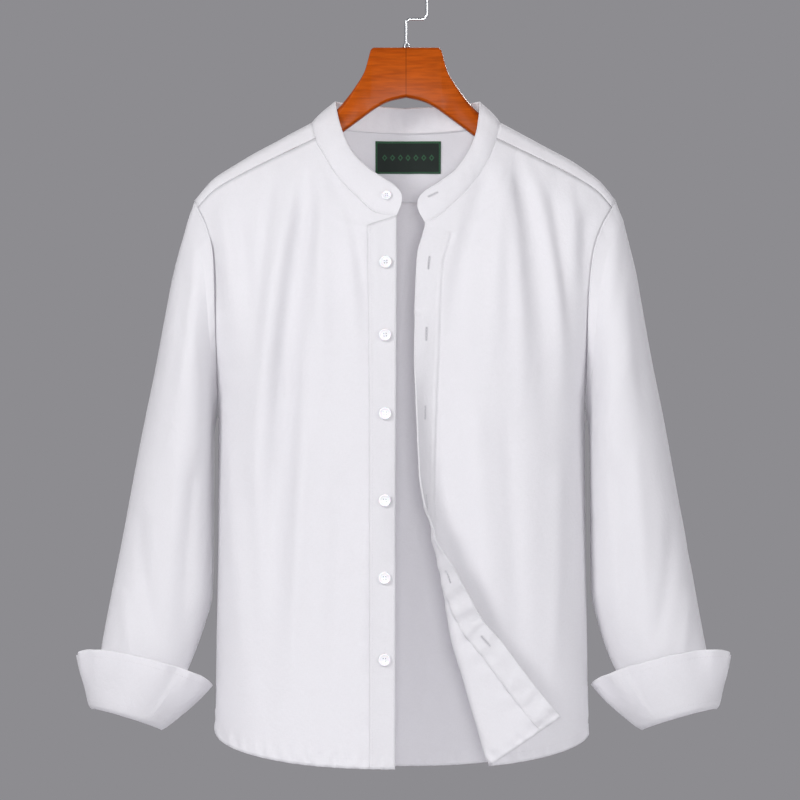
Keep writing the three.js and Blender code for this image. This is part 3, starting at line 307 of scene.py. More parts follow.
def wood_material():
    """Stained, lacquered beech: fine grain along the arms under a clear, glossy coat.

    It gives an orange brown that deepens at the bevels, with soft window-like highlights."""
    material, tree, output = new_material("lacquered_beech")
    place = add(tree, "ShaderNodeTexCoord").outputs["Object"]
    turned = add(tree, "ShaderNodeMapping", {"Vector": place, "Scale": (12, 90, 130)})
    grain = add(tree, "ShaderNodeTexNoise", {
        "Vector": turned.outputs["Vector"], "Scale": 1.0, "Detail": 6, "Distortion": 0.9})
    fine = add(tree, "ShaderNodeMapping", {"Vector": place, "Scale": (40, 420, 420)})
    pores = add(tree, "ShaderNodeTexNoise", {
        "Vector": fine.outputs["Vector"], "Scale": 1.0, "Detail": 2})
    ramp = add(tree, "ShaderNodeValToRGB", {"Fac": grain.outputs["Fac"]})
    ramp.color_ramp.elements[0].position = 0.3
    ramp.color_ramp.elements[0].color = linear("#993d05")
    ramp.color_ramp.elements[1].position = 0.7
    ramp.color_ramp.elements[1].color = linear("#b24e0c")
    flecks = add(tree, "ShaderNodeMapRange", {
        "Value": pores.outputs["Fac"], "From Min": 0.35, "From Max": 0.6, "To Min": 0.78})
    stained = add(tree, "ShaderNodeVectorMath", {
        0: ramp.outputs["Color"], 1: flecks.outputs["Result"]}, operation="MULTIPLY")
    across = add(tree, "ShaderNodeSeparateXYZ", {"Vector": place})
    away = add(tree, "ShaderNodeMath", {0: across.outputs["X"]}, operation="ABSOLUTE")
    joint = add(tree, "ShaderNodeMapRange", {
        "Value": away.outputs["Value"], "From Min": 0.0002, "From Max": 0.0006, "To Min": 0.45})
    joined = add(tree, "ShaderNodeVectorMath", {
        0: stained.outputs["Vector"], 1: joint.outputs["Result"]}, operation="MULTIPLY")
    bump = add(tree, "ShaderNodeBump", {
        "Height": pores.outputs["Fac"], "Strength": 0.12, "Distance": 0.0003})
    surface_node = add(tree, "ShaderNodeBsdfPrincipled", {
        "Base Color": joined.outputs["Vector"], "Roughness": 0.5, "Specular IOR Level": 0.35, "Specular Tint": linear("#ff9a4a"), "Coat Weight": 0.04,
        "Coat Roughness": 0.2, "Normal": bump.outputs["Normal"]})
    tree.links.new(surface_node.outputs["BSDF"], output.inputs["Surface"])
    return material


hanger_grid = hanger_points()
hanger_middle = hanger_grid.mean(1, keepdims=True)
hanger = surface(
    "wooden_hanger", hanger_grid, (440, 70), wood_material(), closed=True,
    outward=hanger_grid - hanger_middle)
placed(hanger, "wood", "hanger")

# The yoke: white cotton poplin, cut double on the real shirt, lying over both shoulders.
# It is topstitched along its front and back seams. From here on the cloth follows one
# form: tau runs across the body, from -1 to 1 at the side seams, and way runs down from
# the shoulder line, negative in front and positive behind.
CLOTH, SEAM_GAP, LAY_GAP, BAND_CLOTH = 1.3, 0.4, 0.3, 1.0
SHEET = 0.7
ROUND_RADIUS, ROUND_TURN = 18, math.radians(58)
DEPTH, DEPTH_RUN, HEM_TAPER = 88, 230, 0.045
UNDERARM_Z, HEM_Z, BODY_DRIFT = -503, -904, -4.8
FRONT, BACK, LEFT, RIGHT = -1, 1, -1, 1
half_width_at = curve([  # height, half width
    (-174, 330), (-264, 290), (-322, 255), (-400, 225), (-460, 211), (-503, 207), (-904, 211)])
armhole_at = curve([  # height, distance from the middle
    (-261, 237), (-290, 222), (-322, 213), (-370, 209.5), (-430, 207.8), (-503, 207)])
LATERAL_STEPS = 240
lateral_angle = (math.pi / 2) * ((np.arange(LATERAL_STEPS) + 0.5) / LATERAL_STEPS) ** 3
lateral_tau = np.linspace(0, 1, LATERAL_STEPS + 1)
lateral_out = np.concatenate([[0], np.cumsum(np.cos(lateral_angle))])
lateral_out /= lateral_out[-1]
lateral_deep = np.concatenate([[0], np.cumsum(np.sin(lateral_angle))])
lateral_deep = 1 - lateral_deep / lateral_deep[-1]
ROUND_DROP = ROUND_RADIUS * (1 - math.cos(ROUND_TURN))
ROUND_DEPTH = ROUND_RADIUS * math.sin(ROUND_TURN)
ROUND_WAY = ROUND_RADIUS * ROUND_TURN
DROP_RATE = math.sin(ROUND_TURN)
LARGE_FOLDS = [  # side, depth, width, then x and z at three places
    (FRONT, -6.5, 16, -101, -200, -119, -330, -143, -760),
    (FRONT, 4.0, 12, -100, -200, -97, -330, -84, -520),
    (FRONT, -4.0, 13, -93, -200, -54, -320, -33, -500),
    (FRONT, 3.6, 11, -206, -262, -197, -330, -192, -430),
    (FRONT, -3.6, 12, -196, -262, -178, -350, -172, -480),
    (FRONT, 3.8, 11, 106, -205, 102, -320, 92, -480),
    (FRONT, -5.2, 14, 124, -205, 145, -330, 156, -600),
    (FRONT, -4.2, 13, 100, -215, 68, -310, 50, -460),
    (FRONT, -3.6, 11, 208, -262, 198, -330, 192, -440),
    (BACK, -4.4, 15, -118, -318, -128, -480, -140, -760),
    (BACK, 3.4, 14, -86, -318, -88, -470, -96, -700),
    (BACK, -3.8, 15, 104, -318, 116, -470, 122, -720),
    (BACK, 3.2, 14, 76, -318, 80, -450, 88, -640),
    (BACK, -2.6, 15, 6, -330, 4, -520, -2, -800),
]


def drift_at(z):
    return BODY_DRIFT * smooth(-200, -400, z)


def lateral(tau):
    """How far out and how deep a level cut is at tau, as shares."""
    reach = np.minimum(np.abs(tau), 1)
    return (np.sign(tau) * np.interp(reach, lateral_tau, lateral_out),
            np.interp(reach, lateral_tau, lateral_deep))


def tau_at(out):
    return np.sign(out) * np.interp(np.minimum(np.abs(out), 1), lateral_out, lateral_tau)


def drop_at(way):
    run = np.abs(way)
    rounded = ROUND_RADIUS * (1 - np.cos(np.minimum(run, ROUND_WAY) / ROUND_RADIUS))
    return np.where(run < ROUND_WAY, rounded, ROUND_DROP + (run - ROUND_WAY) * DROP_RATE)


def way_at(drop):
    rounded = np.arccos(1 - np.clip(drop, 0, ROUND_DROP) / ROUND_RADIUS) * ROUND_RADIUS
    return np.where(drop < ROUND_DROP, rounded, ROUND_WAY + (drop - ROUND_DROP) / DROP_RATE)


def depth_at(drop, side):
    rounded = np.sqrt(np.maximum(2 * ROUND_RADIUS * drop - drop * drop, 0))
    run = np.clip((drop - ROUND_DROP) / (DEPTH_RUN - ROUND_DROP), 0, 1)
    eased = 1 - (1 - run) ** np.where(side == BACK, 2.4, 1.85)
    return np.where(drop < ROUND_DROP, rounded, ROUND_DEPTH + (DEPTH - ROUND_DEPTH) * eased)


def plain_point(tau, way):
    """The form without its folds."""
    drop = drop_at(way)
    out, deep = lateral(tau)
    z = np.full(np.broadcast(tau, way).shape, -300.0)
    for _ in range(40):
        x = half_width_at(z) * out
        z = ridge_at(np.abs(x)) - drop
    taper = 1 - HEM_TAPER * smooth(UNDERARM_Z, HEM_Z, z)
    side = np.sign(way)
    return np.stack([x + drift_at(z), side * depth_at(drop, side) * deep * taper, z], -1)


def own_place(own, z, side):
    """tau and way of a place by its height and its distance from the body's middle."""
    return tau_at(own / half_width_at(z)), side * way_at(ridge_at(np.abs(own)) - z)


def place_of(x, z, side):
    return own_place(x - drift_at(z), z, side)


def fold_at(x, z, side, folds):
    """How far the folds of a table stand out at each place; each fades in and away."""
    offset = np.zeros(np.broadcast(x, z).shape)
    for fold_side, depth, width, x0, z0, x1, z1, x2, z2 in folds:
        t = (z - z0) / (z2 - z0)
        bend = (z1 - z0) / (z2 - z0)
        across = (x0 * (t - bend) * (t - 1) / bend + x1 * t * (t - 1) / (bend * (bend - 1))
                  + x2 * t * (t - bend) / (1 - bend))
        strength = smooth(0, 0.16, t) * smooth(1, 0.45, t)
        shown = (side == fold_side) & (t > 0) & (t < 1)
        offset += np.where(shown, depth * strength * np.exp(-((x - across) / width) ** 2), 0)
    return offset


def unit(vectors):
    return vectors / np.maximum(np.linalg.norm(vectors, axis=-1, keepdims=True), 1e-9)


def facing(points, outward, closed=False):
    """Normals of a grid of points, on the side that outward is on."""
    across, down = np.gradient(points, axis=1), np.gradient(points, axis=0)
    if closed:
        across[:, 0] = across[:, -1] = points[:, 1] - points[:, -2]
    normals = unit(np.cross(across, down))
    return normals if (normals * outward).sum() > 0 else -normals


def body_form(tau, way, outward):
    """Points of the folded form over a grid of places, and their normals."""
    plain = plain_point(tau, way)
    normals = facing(plain, outward)
    folds = fold_at(plain[..., 0], plain[..., 2], np.sign(way), LARGE_FOLDS)
    points = plain + normals * folds[..., None]
    return points, facing(points, outward)


def difference_normals(points_of, tau, way):
    tau = np.clip(tau, -0.996, 0.996)
    across = points_of(tau + 0.004, way) - points_of(tau - 0.004, way)
    down = points_of(tau, way + 0.8) - points_of(tau, way - 0.8)
    return unit(np.cross(across, down))


def spots(tau, way):
    """Scattered points of the folded form."""
    plain = plain_point(tau, way)
    folds = fold_at(plain[..., 0], plain[..., 2], np.sign(way), LARGE_FOLDS)
    return plain + difference_normals(plain_point, tau, way) * folds[..., None]


def spot_normals(tau, way):
    return difference_normals(spots, tau, way)


def ripples(along, length, pitch, seed):
    """Uneven soft ripples along a seam, about a pitch apart, from -1 to 1."""
    rng = np.random.default_rng(seed)
    centres = np.arange(0, length, pitch)
    centres = centres + rng.uniform(-0.35, 0.35, len(centres)) * pitch
    heights = rng.uniform(0.3, 1, len(centres)) * np.where(np.arange(len(centres)) % 2, 1, -1)
    widths = rng.uniform(0.3, 0.6, len(centres)) * pitch
    total = np.zeros(np.shape(along))
    for centre, height, width in zip(centres, heights, widths):
        total += height * np.exp(-((along - centre) / width) ** 2)
    return total


def swells(x, z, size, seed):
    """Broad uneven swellings of hanging cloth, longer down than across, from about -1 to 1."""
    rng = np.random.default_rng(seed)
    total = np.zeros(np.broadcast(x, z).shape)
    for _ in range(7):
        across, down = rng.uniform(0.6, 1.6) / size, rng.uniform(-0.35, 0.35) / size
        total += np.sin(2 * np.pi * (x * across + z * down) + rng.uniform(0, 6.28)) / 3.5
    return total


def lengths_along(points):
    """The distance along a row of points, from its first."""
    return np.concatenate([[0], np.cumsum(np.linalg.norm(np.diff(points, axis=0), axis=1))])


def cotton_material(name, colour, weave=1.0):
    """Washed cotton poplin, plain woven and pressed: matt, with a faint bloom at the edges.

    The threads are a quarter of a millimetre, too fine for a render, so the weave is drawn
    a millimetre coarse; a soft unevenness of some centimetres stands for the pressed cloth."""
    material, tree, output = new_material(name)
    place = add(tree, "ShaderNodeTexCoord")
    threads = []
    for scale in ((900, 240, 1), (240, 900, 1)):
        turned = add(tree, "ShaderNodeMapping", {"Vector": place.outputs["UV"], "Scale": scale})
        threads.append(add(tree, "ShaderNodeTexNoise", {
            "Vector": turned.outputs["Vector"], "Scale": 1.0, "Detail": 2}))
    woven = add(tree, "ShaderNodeMath", {
        0: threads[0].outputs["Fac"], 1: threads[1].outputs["Fac"]}, operation="ADD")
    pressed = add(tree, "ShaderNodeTexNoise", {
        "Vector": place.outputs["Object"], "Scale": 28, "Detail": 4, "Distortion": 0.6})
    tint = add(tree, "ShaderNodeMapRange", {
        "Value": woven.outputs["Value"], "From Min": 0.6, "From Max": 1.4,
        "To Min": 0.975, "To Max": 1.015})
    coloured = add(tree, "ShaderNodeVectorMath", {
        0: linear(colour)[:3], 1: tint.outputs["Result"]}, operation="MULTIPLY")
    soft = add(tree, "ShaderNodeBump", {
        "Height": pressed.outputs["Fac"], "Strength": 0.35, "Distance": 0.004})
    fine = add(tree, "ShaderNodeBump", {
        "Height": woven.outputs["Value"], "Strength": 0.22 * weave, "Distance": 0.0004,
        "Normal": soft.outputs["Normal"]})
    shell = add(tree, "ShaderNodeBsdfPrincipled", {
        "Base Color": coloured.outputs["Vector"], "Roughness": 0.86, "Sheen Weight": 0.12,
        "Sheen Roughness": 0.5, "Specular IOR Level": 0.3, "Normal": fine.outputs["Normal"]})
    through = add(tree, "ShaderNodeBsdfTranslucent", {
        "Color": coloured.outputs["Vector"], "Normal": fine.outputs["Normal"]})
    mixed = add(tree, "ShaderNodeMixShader", {
        0: 0.3, 1: shell.outputs["BSDF"], 2: through.outputs["BSDF"]})
    tree.links.new(mixed.outputs["Shader"], output.inputs["Surface"])
    return material


def cloth(name, points, size, normals, closed=False, thickness=SHEET, material=None):
    """A piece of cloth: its outer face over a grid of points, thickened inwards."""
    piece = surface(name, points, size, material or cotton, closed, normals)
    wall = piece.modifiers.new("thickness", "SOLIDIFY")
    wall.thickness = thickness / 1000
    wall.offset = -1
    return piece


def stitches(name, rows, material=None, pitch=3.2, length=2.2, radius=0.24):
    """Rows of lockstitch as one mesh. A row is points in mm, with a normal for each.

    Real stitches are two millimetres apart; they are drawn a little coarser."""
    bm = bmesh.new()
    bmesh.ops.create_icosphere(bm, subdivisions=1, radius=1)
    template = np.array([vert.co[:] for vert in bm.verts])
    faces = np.array([[vert.index for vert in face.verts] for face in bm.faces])
    bm.free()
    all_points, all_faces = [], []
    for points, normals in rows:
        arcs = lengths_along(points)
        centres = np.arange(pitch / 2, arcs[-1], pitch)
        middle, before, after, normal = (
            np.stack([np.interp(np.clip(place, 0, arcs[-1]), arcs, data[:, k]) for k in range(3)], -1)
            for place, data in ((centres, points), (centres - length / 2, points),
                                (centres + length / 2, points), (centres, normals)))
        along = unit(after - before)
        normal = unit(normal)
        across = np.cross(normal, along)
        for i, centre in enumerate(middle):
            frame_axes = np.stack([along[i] * length / 2, across[i] * radius, normal[i] * radius])
            all_faces.append(faces + len(template) * len(all_points))
            all_points.append(centre + template @ frame_axes)
    mesh = bpy.data.meshes.new(name)
    mesh.from_pydata(np.concatenate(all_points) / 1000, [], np.concatenate(all_faces).tolist())
    mesh.shade_smooth()
    mesh.materials.append(material or thread)
    piece = bpy.data.objects.new(name, mesh)
    bpy.context.scene.collection.objects.link(piece)
    return placed(piece, "cotton")


cotton = cotton_material("white_cotton_poplin", "#f1f0f3")
thread = cotton_material("white_sewing_thread", "#eae9ec", 0.2)

FRONT_SEAM_NECK, FRONT_SEAM_ARM = (101.7, 20.5), (233.5, 13)
BACK_SEAM_CENTRE, BACK_SEAM_ARM = -259.5, -311
NECK_SHOULDER, NECK_BACK_DROP = 107, 8.4
NECKLINE = [  # distance from the middle, height on the left, height on the right
    (107, -174.5, -174.5), (103, -190.5, -190.5), (91, -212.5, -219), (78, -233.5, -239),
    (65, -248.7, -254.5), (54, -259.5, -265.5), (43, -270.5, -276), (34, -277, -283),
    (21, -280, -288.8), (10, -281, -289.5),
]
neckline_at = {LEFT: curve(NECKLINE, 1), RIGHT: curve(NECKLINE, 2)}
YOKE_ARM_WAYS = [50, 34, 22, 13, 5, -2, -9]
YOKE_BACK_SHARE = 0.66
YOKE_BACK_STEPS = 12
YOKE_LAP = 1.008
yoke_steps = YOKE_BACK_STEPS + len(YOKE_ARM_WAYS) + 1


def front_seam_place(hand, t):
    x = mix(FRONT_SEAM_NECK[0], FRONT_SEAM_ARM[0], t)
    drop = mix(FRONT_SEAM_NECK[1], FRONT_SEAM_ARM[1], t)
    return own_place(hand * x, ridge_at(x) - drop, FRONT)


def back_seam_place(share):
    """The back yoke seam, from -1 to 1 at the armholes."""
    z = mix(BACK_SEAM_CENTRE, BACK_SEAM_ARM, np.abs(share) ** 1.8)
    reach = own_place(armhole_at(BACK_SEAM_ARM), BACK_SEAM_ARM, BACK)[0]
    return own_place(half_width_at(z) * lateral(share * reach)[0], z, BACK)


def armhole_by_way(way):
    """Distance out and height of the armhole at a way from the shoulder line."""
    heights = np.linspace(-261, -331, 300)
    ways = way_at(ridge_at(armhole_at(heights)) - heights)
    z = np.interp(np.abs(way), ways, heights)
    return armhole_at(z), z


def neck_yoke_place(share):
    """The neckline from the centre back, at 0, to the front yoke seam, at 1."""
    x = NECK_SHOULDER * np.sin((math.pi / 2) * np.minimum(share / 0.8, 1))
    drop = NECK_BACK_DROP * (1 - (x / NECK_SHOULDER) ** 2)
    shoulder_z = neckline_at[LEFT](NECK_SHOULDER)
    behind = way_at(ridge_at(x) - shoulder_z + drop)
    rest = np.clip((share - 0.8) / 0.2, 0, 1)
    start = way_at(ridge_at(NECK_SHOULDER) - shoulder_z)
    x_front = mix(NECK_SHOULDER, FRONT_SEAM_NECK[0], rest ** 1.6)
    way_front = mix(start, -way_at(FRONT_SEAM_NECK[1]), rest)
    return np.where(share <= 0.8, x, x_front), np.where(share <= 0.8, behind, way_front)


def by_x(x, way):
    z = ridge_at(np.abs(x)) - drop_at(way)
    return tau_at(x / half_width_at(z)), way


def yoke_half_edges(steps):
    """Inner and outer edge of half the yoke, as x and way at each of its columns."""
    fine_x, fine_way = neck_yoke_place(np.linspace(0, 1, 600))
    arcs = lengths_along(plain_point(*by_x(fine_x, fine_way)))
    shares = np.interp(steps, [0, YOKE_BACK_STEPS, yoke_steps], [0, YOKE_BACK_SHARE, 1])
    inner = [np.interp(shares * arcs[-1], arcs, data) for data in (fine_x, fine_way)]
    back_tau, back_way = back_seam_place(np.minimum(steps / YOKE_BACK_STEPS, 1))
    back = plain_point(back_tau, back_way)
    arm_start = float(way_at(ridge_at(armhole_at(BACK_SEAM_ARM)) - BACK_SEAM_ARM))
    ways = [arm_start, *YOKE_ARM_WAYS, -float(way_at(FRONT_SEAM_ARM[1]))]
    arm_way = np.interp(steps, range(YOKE_BACK_STEPS, yoke_steps + 1), ways)
    arm_x = armhole_by_way(arm_way)[0]
    behind = steps <= YOKE_BACK_STEPS
    outer = (np.where(behind, back[..., 0] - drift_at(back[..., 2]), arm_x),
             np.where(behind, back_way, arm_way))
    return inner, outer


YOKE_COLUMNS, YOKE_ROWS = 8 * yoke_steps, 36
half_steps = np.linspace(0, yoke_steps, YOKE_COLUMNS // 2 + 1)
yoke_inner, yoke_outer = yoke_half_edges(half_steps)
yoke_edges = [[np.concatenate([-x[:0:-1], x]), np.concatenate([way[:0:-1], way])]
              for x, way in (yoke_inner, yoke_outer)]
yoke_share = np.linspace(0, 1, YOKE_ROWS + 1)[:, None]
yoke_x, yoke_way = (mix(a[None], b[None], yoke_share * YOKE_LAP) for a, b in zip(*yoke_edges))
yoke_tau, yoke_way = by_x(yoke_x, yoke_way)
yoke_points, yoke_normals = body_form(yoke_tau, yoke_way, (0, 0, 1))
yoke_swell = swells(yoke_points[..., 0], yoke_points[..., 1] + yoke_points[..., 2], 70, 3)
yoke_edge = np.minimum(yoke_share, 1 - yoke_share) * 2
yoke_points = yoke_points + yoke_normals * (0.5 * yoke_swell * smooth(0, 0.5, yoke_edge))[..., None]
seam_lift = smooth(0.93, 0.97, yoke_share) - 0.8 * smooth(0.985, 1, yoke_share)
yoke_points = yoke_points + yoke_normals * (0.2 * seam_lift)[..., None]
yoke_normals = facing(yoke_points, (0, 0, 1))
yoke = cloth("yoke_cloth", yoke_points, (475, 170), yoke_normals)
placed(yoke, "cotton", "yoke")
seam_row = YOKE_ROWS - 2
yoke_stitches = stitches("yoke_topstitching", [
    (yoke_points[seam_row] + yoke_normals[seam_row] * 0.05, yoke_normals[seam_row])])

# The back: one width of the same poplin below the yoke, down to a curved shirt-tail hem
# that is turned twice and stitched. It hangs free, with long soft folds from the yoke.
BACK_ROWS, BACK_COLUMNS = 180, 144
BACK_ARM_SHARE = 6 / 20
HEM_BAND = 11
BACK_CREASES = [
    (BACK, 1.6, 7, -164, -318, -170, -420, -178, -560),
    (BACK, -1.8, 8, -150, -318, -158, -430, -166, -600),
    (BACK, -1.4, 6, -52, -272, -54, -380, -60, -520),
    (BACK, 1.5, 8, -30, -272, -32, -420, -40, -640),
    (BACK, 1.3, 7, 40, -270, 44, -400, 50, -560),
    (BACK, -1.8, 9, 148, -316, 156, -440, 164, -620),
    (BACK, 1.4, 7, 172, -320, 178, -430, 186, -540),
    (BACK, -1.6, 12, -60, -520, -64, -700, -72, -896),
    (BACK, 1.6, 12, 44, -560, 50, -720, 56, -896),
    (BACK, 1.4, 10, -170, -600, -166, -740, -160, -880),
    (BACK, -1.5, 11, 168, -620, 160, -760, 150, -884),
]


HEM, HEM_POWER = {FRONT: (-897, 37.5), BACK: (-907, 47.5)}, 2.5  # the centre's height, the rise


def hem_at(x, side):
    centre, rise = HEM[side]
    share = np.abs(tau_at((x - BODY_DRIFT) / half_width_at(HEM_Z)))
    return centre + rise * share ** HEM_POWER


def side_edge(hand, side, v, arm_share, arm_top, corner=0.0):
    """The armhole and the side seam as one edge; v runs from 0 at its top to 1."""
    arm = np.clip(v / arm_share, 0, 1)
    z_arm = mix(arm_top, UNDERARM_Z, arm)
    step = np.clip(1 - arm * 9, 0, 1)
    own = armhole_at(z_arm) + corner * step
    tau_arm, way_arm = own_place(hand * own, z_arm, side)
    down = np.clip((v - arm_share) / (1 - arm_share), 0, 1)
    low = hem_at(hand * half_width_at(HEM_Z) + BODY_DRIFT, side)
    z_side = mix(UNDERARM_Z, low, down)
    way_side = side * way_at(ridge_at(half_width_at(z_side)) - z_side)
    upper = v < arm_share
    return np.where(upper, tau_arm, hand), np.where(upper, way_arm, way_side)


def fill(top, bottom, inner, outer, spread):
    """tau and way all over a four-sided panel, between its edges."""
    s = np.linspace(0, 1, spread.shape[0])[:, None]
    t = spread
    filled = []
    for a, b, c, d in zip(top, bottom, inner, outer):
        corners = ((1 - s) * ((1 - t) * c[0] + t * d[0]) + s * ((1 - t) * c[-1] + t * d[-1]))
        filled.append((1 - s) * a[None] + s * b[None] + (1 - t) * c[:, None] + t * d[:, None] - corners)
    return filled


def hem_relief(x, z, side, seed):
    """The turned hem: thicker for its width, drawn in by its stitching into small puckers."""
    up = z - hem_at(x, side)
    band = smooth(HEM_BAND + 1.2, HEM_BAND - 0.6, up)
    pucker = ripples(x + 240, 480, 8, seed) * np.exp(-((up - HEM_BAND * 0.7) / 7) ** 2)
    groove = np.exp(-((up - HEM_BAND) / 0.9) ** 2)
    return 0.7 * band + 1.6 * pucker * smooth(0, 4, up) - 0.45 * groove


def back_grid():
    v = np.linspace(0, 1, BACK_ROWS + 1)
    share = np.linspace(-1, 1, BACK_COLUMNS + 1)
    top = back_seam_place(share)
    spread = (top[0] - top[0][0]) / (top[0][-1] - top[0][0])
    hem_tau = mix(-1, 1, spread)
    hem_x = half_width_at(HEM_Z) * lateral(hem_tau)[0] + BODY_DRIFT
    bottom = (hem_tau, place_of(hem_x, hem_at(hem_x, BACK), BACK)[1])
    left = side_edge(LEFT, BACK, v, BACK_ARM_SHARE, BACK_SEAM_ARM)
    right = side_edge(RIGHT, BACK, v, BACK_ARM_SHARE, BACK_SEAM_ARM)
    spreads = np.broadcast_to(spread, (BACK_ROWS + 1, BACK_COLUMNS + 1))
    tau, way = fill(top, bottom, left, right, spreads)
    way = way + SEAM_GAP * (1 - smooth(0, 0.02, v))[:, None]
    return np.clip(tau, -0.9987, 0.9987), way


back_tau, back_way = back_grid()
back_points, back_normals = body_form(back_tau, back_way, (0, 1, 0))
bx, bz = back_points[..., 0], back_points[..., 2]
below_seam = np.cumsum(np.linalg.norm(np.diff(back_points, axis=0, prepend=back_points[:1]), axis=2), 0)
from_side = (1 - np.abs(back_tau)) * 300
back_relief = (
    fold_at(bx, bz, BACK, BACK_CREASES)
    + 0.8 * swells(bx, bz, 120, 11) * smooth(0, 60, below_seam)
    + 0.7 * ripples(bx + 240, 480, 14, 12) * smooth(0, 4, below_seam) * np.exp(-below_seam / 22)
    ) * smooth(0, 12, from_side) + hem_relief(bx, bz, BACK, 13) - 0.3 * np.exp(-below_seam / 1.5)
back_points = back_points + back_normals * back_relief[..., None]
back_normals = facing(back_points, (0, 1, 0))
back = cloth("back_cloth", back_points, (500, 640), back_normals)
placed(back, "cotton", "back")


def level_row(points, normals, distance, lift=0.05):
    """A line along a grid, a distance in mm up from its last row."""
    up = np.cumsum(np.linalg.norm(np.diff(points[::-1], axis=0), axis=2), 0)[::-1]
    up = np.concatenate([up, np.zeros_like(up[:1])])
    line, lean = [], []
    for c in range(points.shape[1]):
        order = np.argsort(up[:, c])
        line.append([np.interp(distance, up[order, c], points[order, c, k]) for k in range(3)])
        lean.append([np.interp(distance, up[order, c], normals[order, c, k]) for k in range(3)])
    return np.array(line) + np.array(lean) * lift, np.array(lean)


back_stitches = stitches("back_hem_stitching", [level_row(back_points, back_normals, HEM_BAND)])

# The right front, on the viewer's left: it hangs straight from the yoke seam. Folds fall
# from the shoulder and beside the armhole; the yoke seam draws the cloth into puckers.
FRONT_CAD_ROWS, NECK_CAD_ROWS, ARM_CAD_ROWS = 22, 5, 9
FRONT_ROWS = 9 * FRONT_CAD_ROWS
NECK_END = {LEFT: 10.5, RIGHT: 20.9}
FRONT_EDGE = [  # height, the left edge, the right edge before its corner rolls out
    (-281, -10.5, 20.9), (-289, -10.5, 20.9), (-306, -10.6, 17), (-322, -10.6, 12.4),
    (-356, -10.8, 10.2), (-408, -11, 8.6), (-640, -11.8, 1.5), (-904, -12.4, -15),
]
front_edge_at = {LEFT: curve(FRONT_EDGE, 1), RIGHT: curve(FRONT_EDGE, 2)}
BAND_WIDTH = 28.5
front_arm_top = float(ridge_at(FRONT_SEAM_ARM[0])) - FRONT_SEAM_ARM[1]
front_arm_corner = FRONT_SEAM_ARM[0] - float(armhole_at(front_arm_top))
FRONT_CREASES = [
    (FRONT, -1.5, 5, -46, -258, -43, -278, -37, -302),
    (FRONT, 1.4, 7, -34, -286, -32, -330, -30, -380),
    (FRONT, 2.4, 12, -113, -202, -140, -330, -166, -740),
    (FRONT, -4.0, 14, -104, -202, -122, -330, -153, -960),
    (FRONT, -1.6, 12, -128, -420, -134, -560, -140, -860),
    (FRONT, -1.6, 7, -150, -226, -160, -330, -166, -450),
    (FRONT, 1.6, 8, -76, -215, -62, -330, -52, -470),
    (FRONT, -1.5, 7, -222, -300, -214, -352, -206, -420),
    (FRONT, 1.5, 10, -108, -480, -120, -640, -128, -860),
    (FRONT, -1.6, 12, -72, -540, -76, -700, -84, -880),
    (FRONT, -1.4, 10, -176, -560, -172, -700, -168, -860),
    (FRONT, 1.4, 9, -196, -520, -192, -640, -186, -800),
    (FRONT, 1.2, 8, -44, -620, -48, -740, -52, -880),
    (FRONT, 1.6, 6, 82, -218, 62, -270, 54, -330),
    (FRONT, -1.6, 6, 72, -226, 50, -290, 42, -360),
    (FRONT, 2.2, 9, 110, -206, 122, -320, 130, -540),
    (FRONT, 1.8, 8, 136, -212, 162, -330, 176, -500),
    (FRONT, -1.6, 8, 160, -232, 176, -340, 184, -470),
    (FRONT, 1.4, 8, 184, -246, 190, -330, 190, -430),
    (FRONT, -1.5, 11, 110, -480, 120, -640, 130, -860),
    (FRONT, 1.5, 12, 76, -470, 88, -620, 118, -860),
    (FRONT, 1.3, 10, 172, -540, 168, -700, 162, -860),
]


def inner_edge(hand, v):
    """The neckline in front, then the front edge, down to the hem."""
    fine_x = np.linspace(FRONT_SEAM_NECK[0], NECK_END[hand], 400)
    fine = np.stack([fine_x, neckline_at[hand](fine_x)], -1)
    arcs = lengths_along(fine)
    share = np.clip(v * FRONT_CAD_ROWS / NECK_CAD_ROWS, 0, 1) * arcs[-1]
    neck_x, neck_z = (np.interp(share, arcs, fine[:, k]) for k in (0, 1))
    foot = hem_at(front_edge_at[hand](HEM_Z), FRONT)
    down = (v * FRONT_CAD_ROWS - NECK_CAD_ROWS) / (FRONT_CAD_ROWS - NECK_CAD_ROWS)
    edge_z = mix(fine[-1, 1], foot, np.clip(down, 0, 1))
    upper = down < 0
    x = np.where(upper, hand * neck_x, front_edge_at[hand](edge_z))
    tau, way = place_of(x, np.where(upper, neck_z, edge_z), FRONT)
    tau[0], way[0] = (float(value) for value in front_seam_place(hand, 0.0))
    return tau, way


def share_of(hand, inner, outer, reach):
    edge = plain_point(*inner)
    place = place_of(edge[..., 0] + hand * reach, edge[..., 2], FRONT)
    return (place[0] - inner[0]) / (outer[0] - inner[0])


def front_grid(hand, spread_of, columns):
    v = np.linspace(0, 1, FRONT_ROWS + 1)
    inner = inner_edge(hand, v)
    outer = side_edge(hand, FRONT, v, ARM_CAD_ROWS / FRONT_CAD_ROWS, front_arm_top, front_arm_corner)
    spread = spread_of(hand, inner, outer, np.linspace(0, 1, columns + 1))
    top = front_seam_place(hand, spread[0])
    hem_tau = mix(inner[0][-1], outer[0][-1], spread[-1])
    hem_x = half_width_at(HEM_Z) * lateral(hem_tau)[0] + BODY_DRIFT
    bottom = place_of(hem_x, hem_at(hem_x, FRONT), FRONT)
    tau, way = fill(top, bottom, inner, outer, spread)
    way = way - SEAM_GAP * (1 - smooth(0, 0.02, v))[:, None]
    return np.clip(tau, -0.9987, 0.9987), way


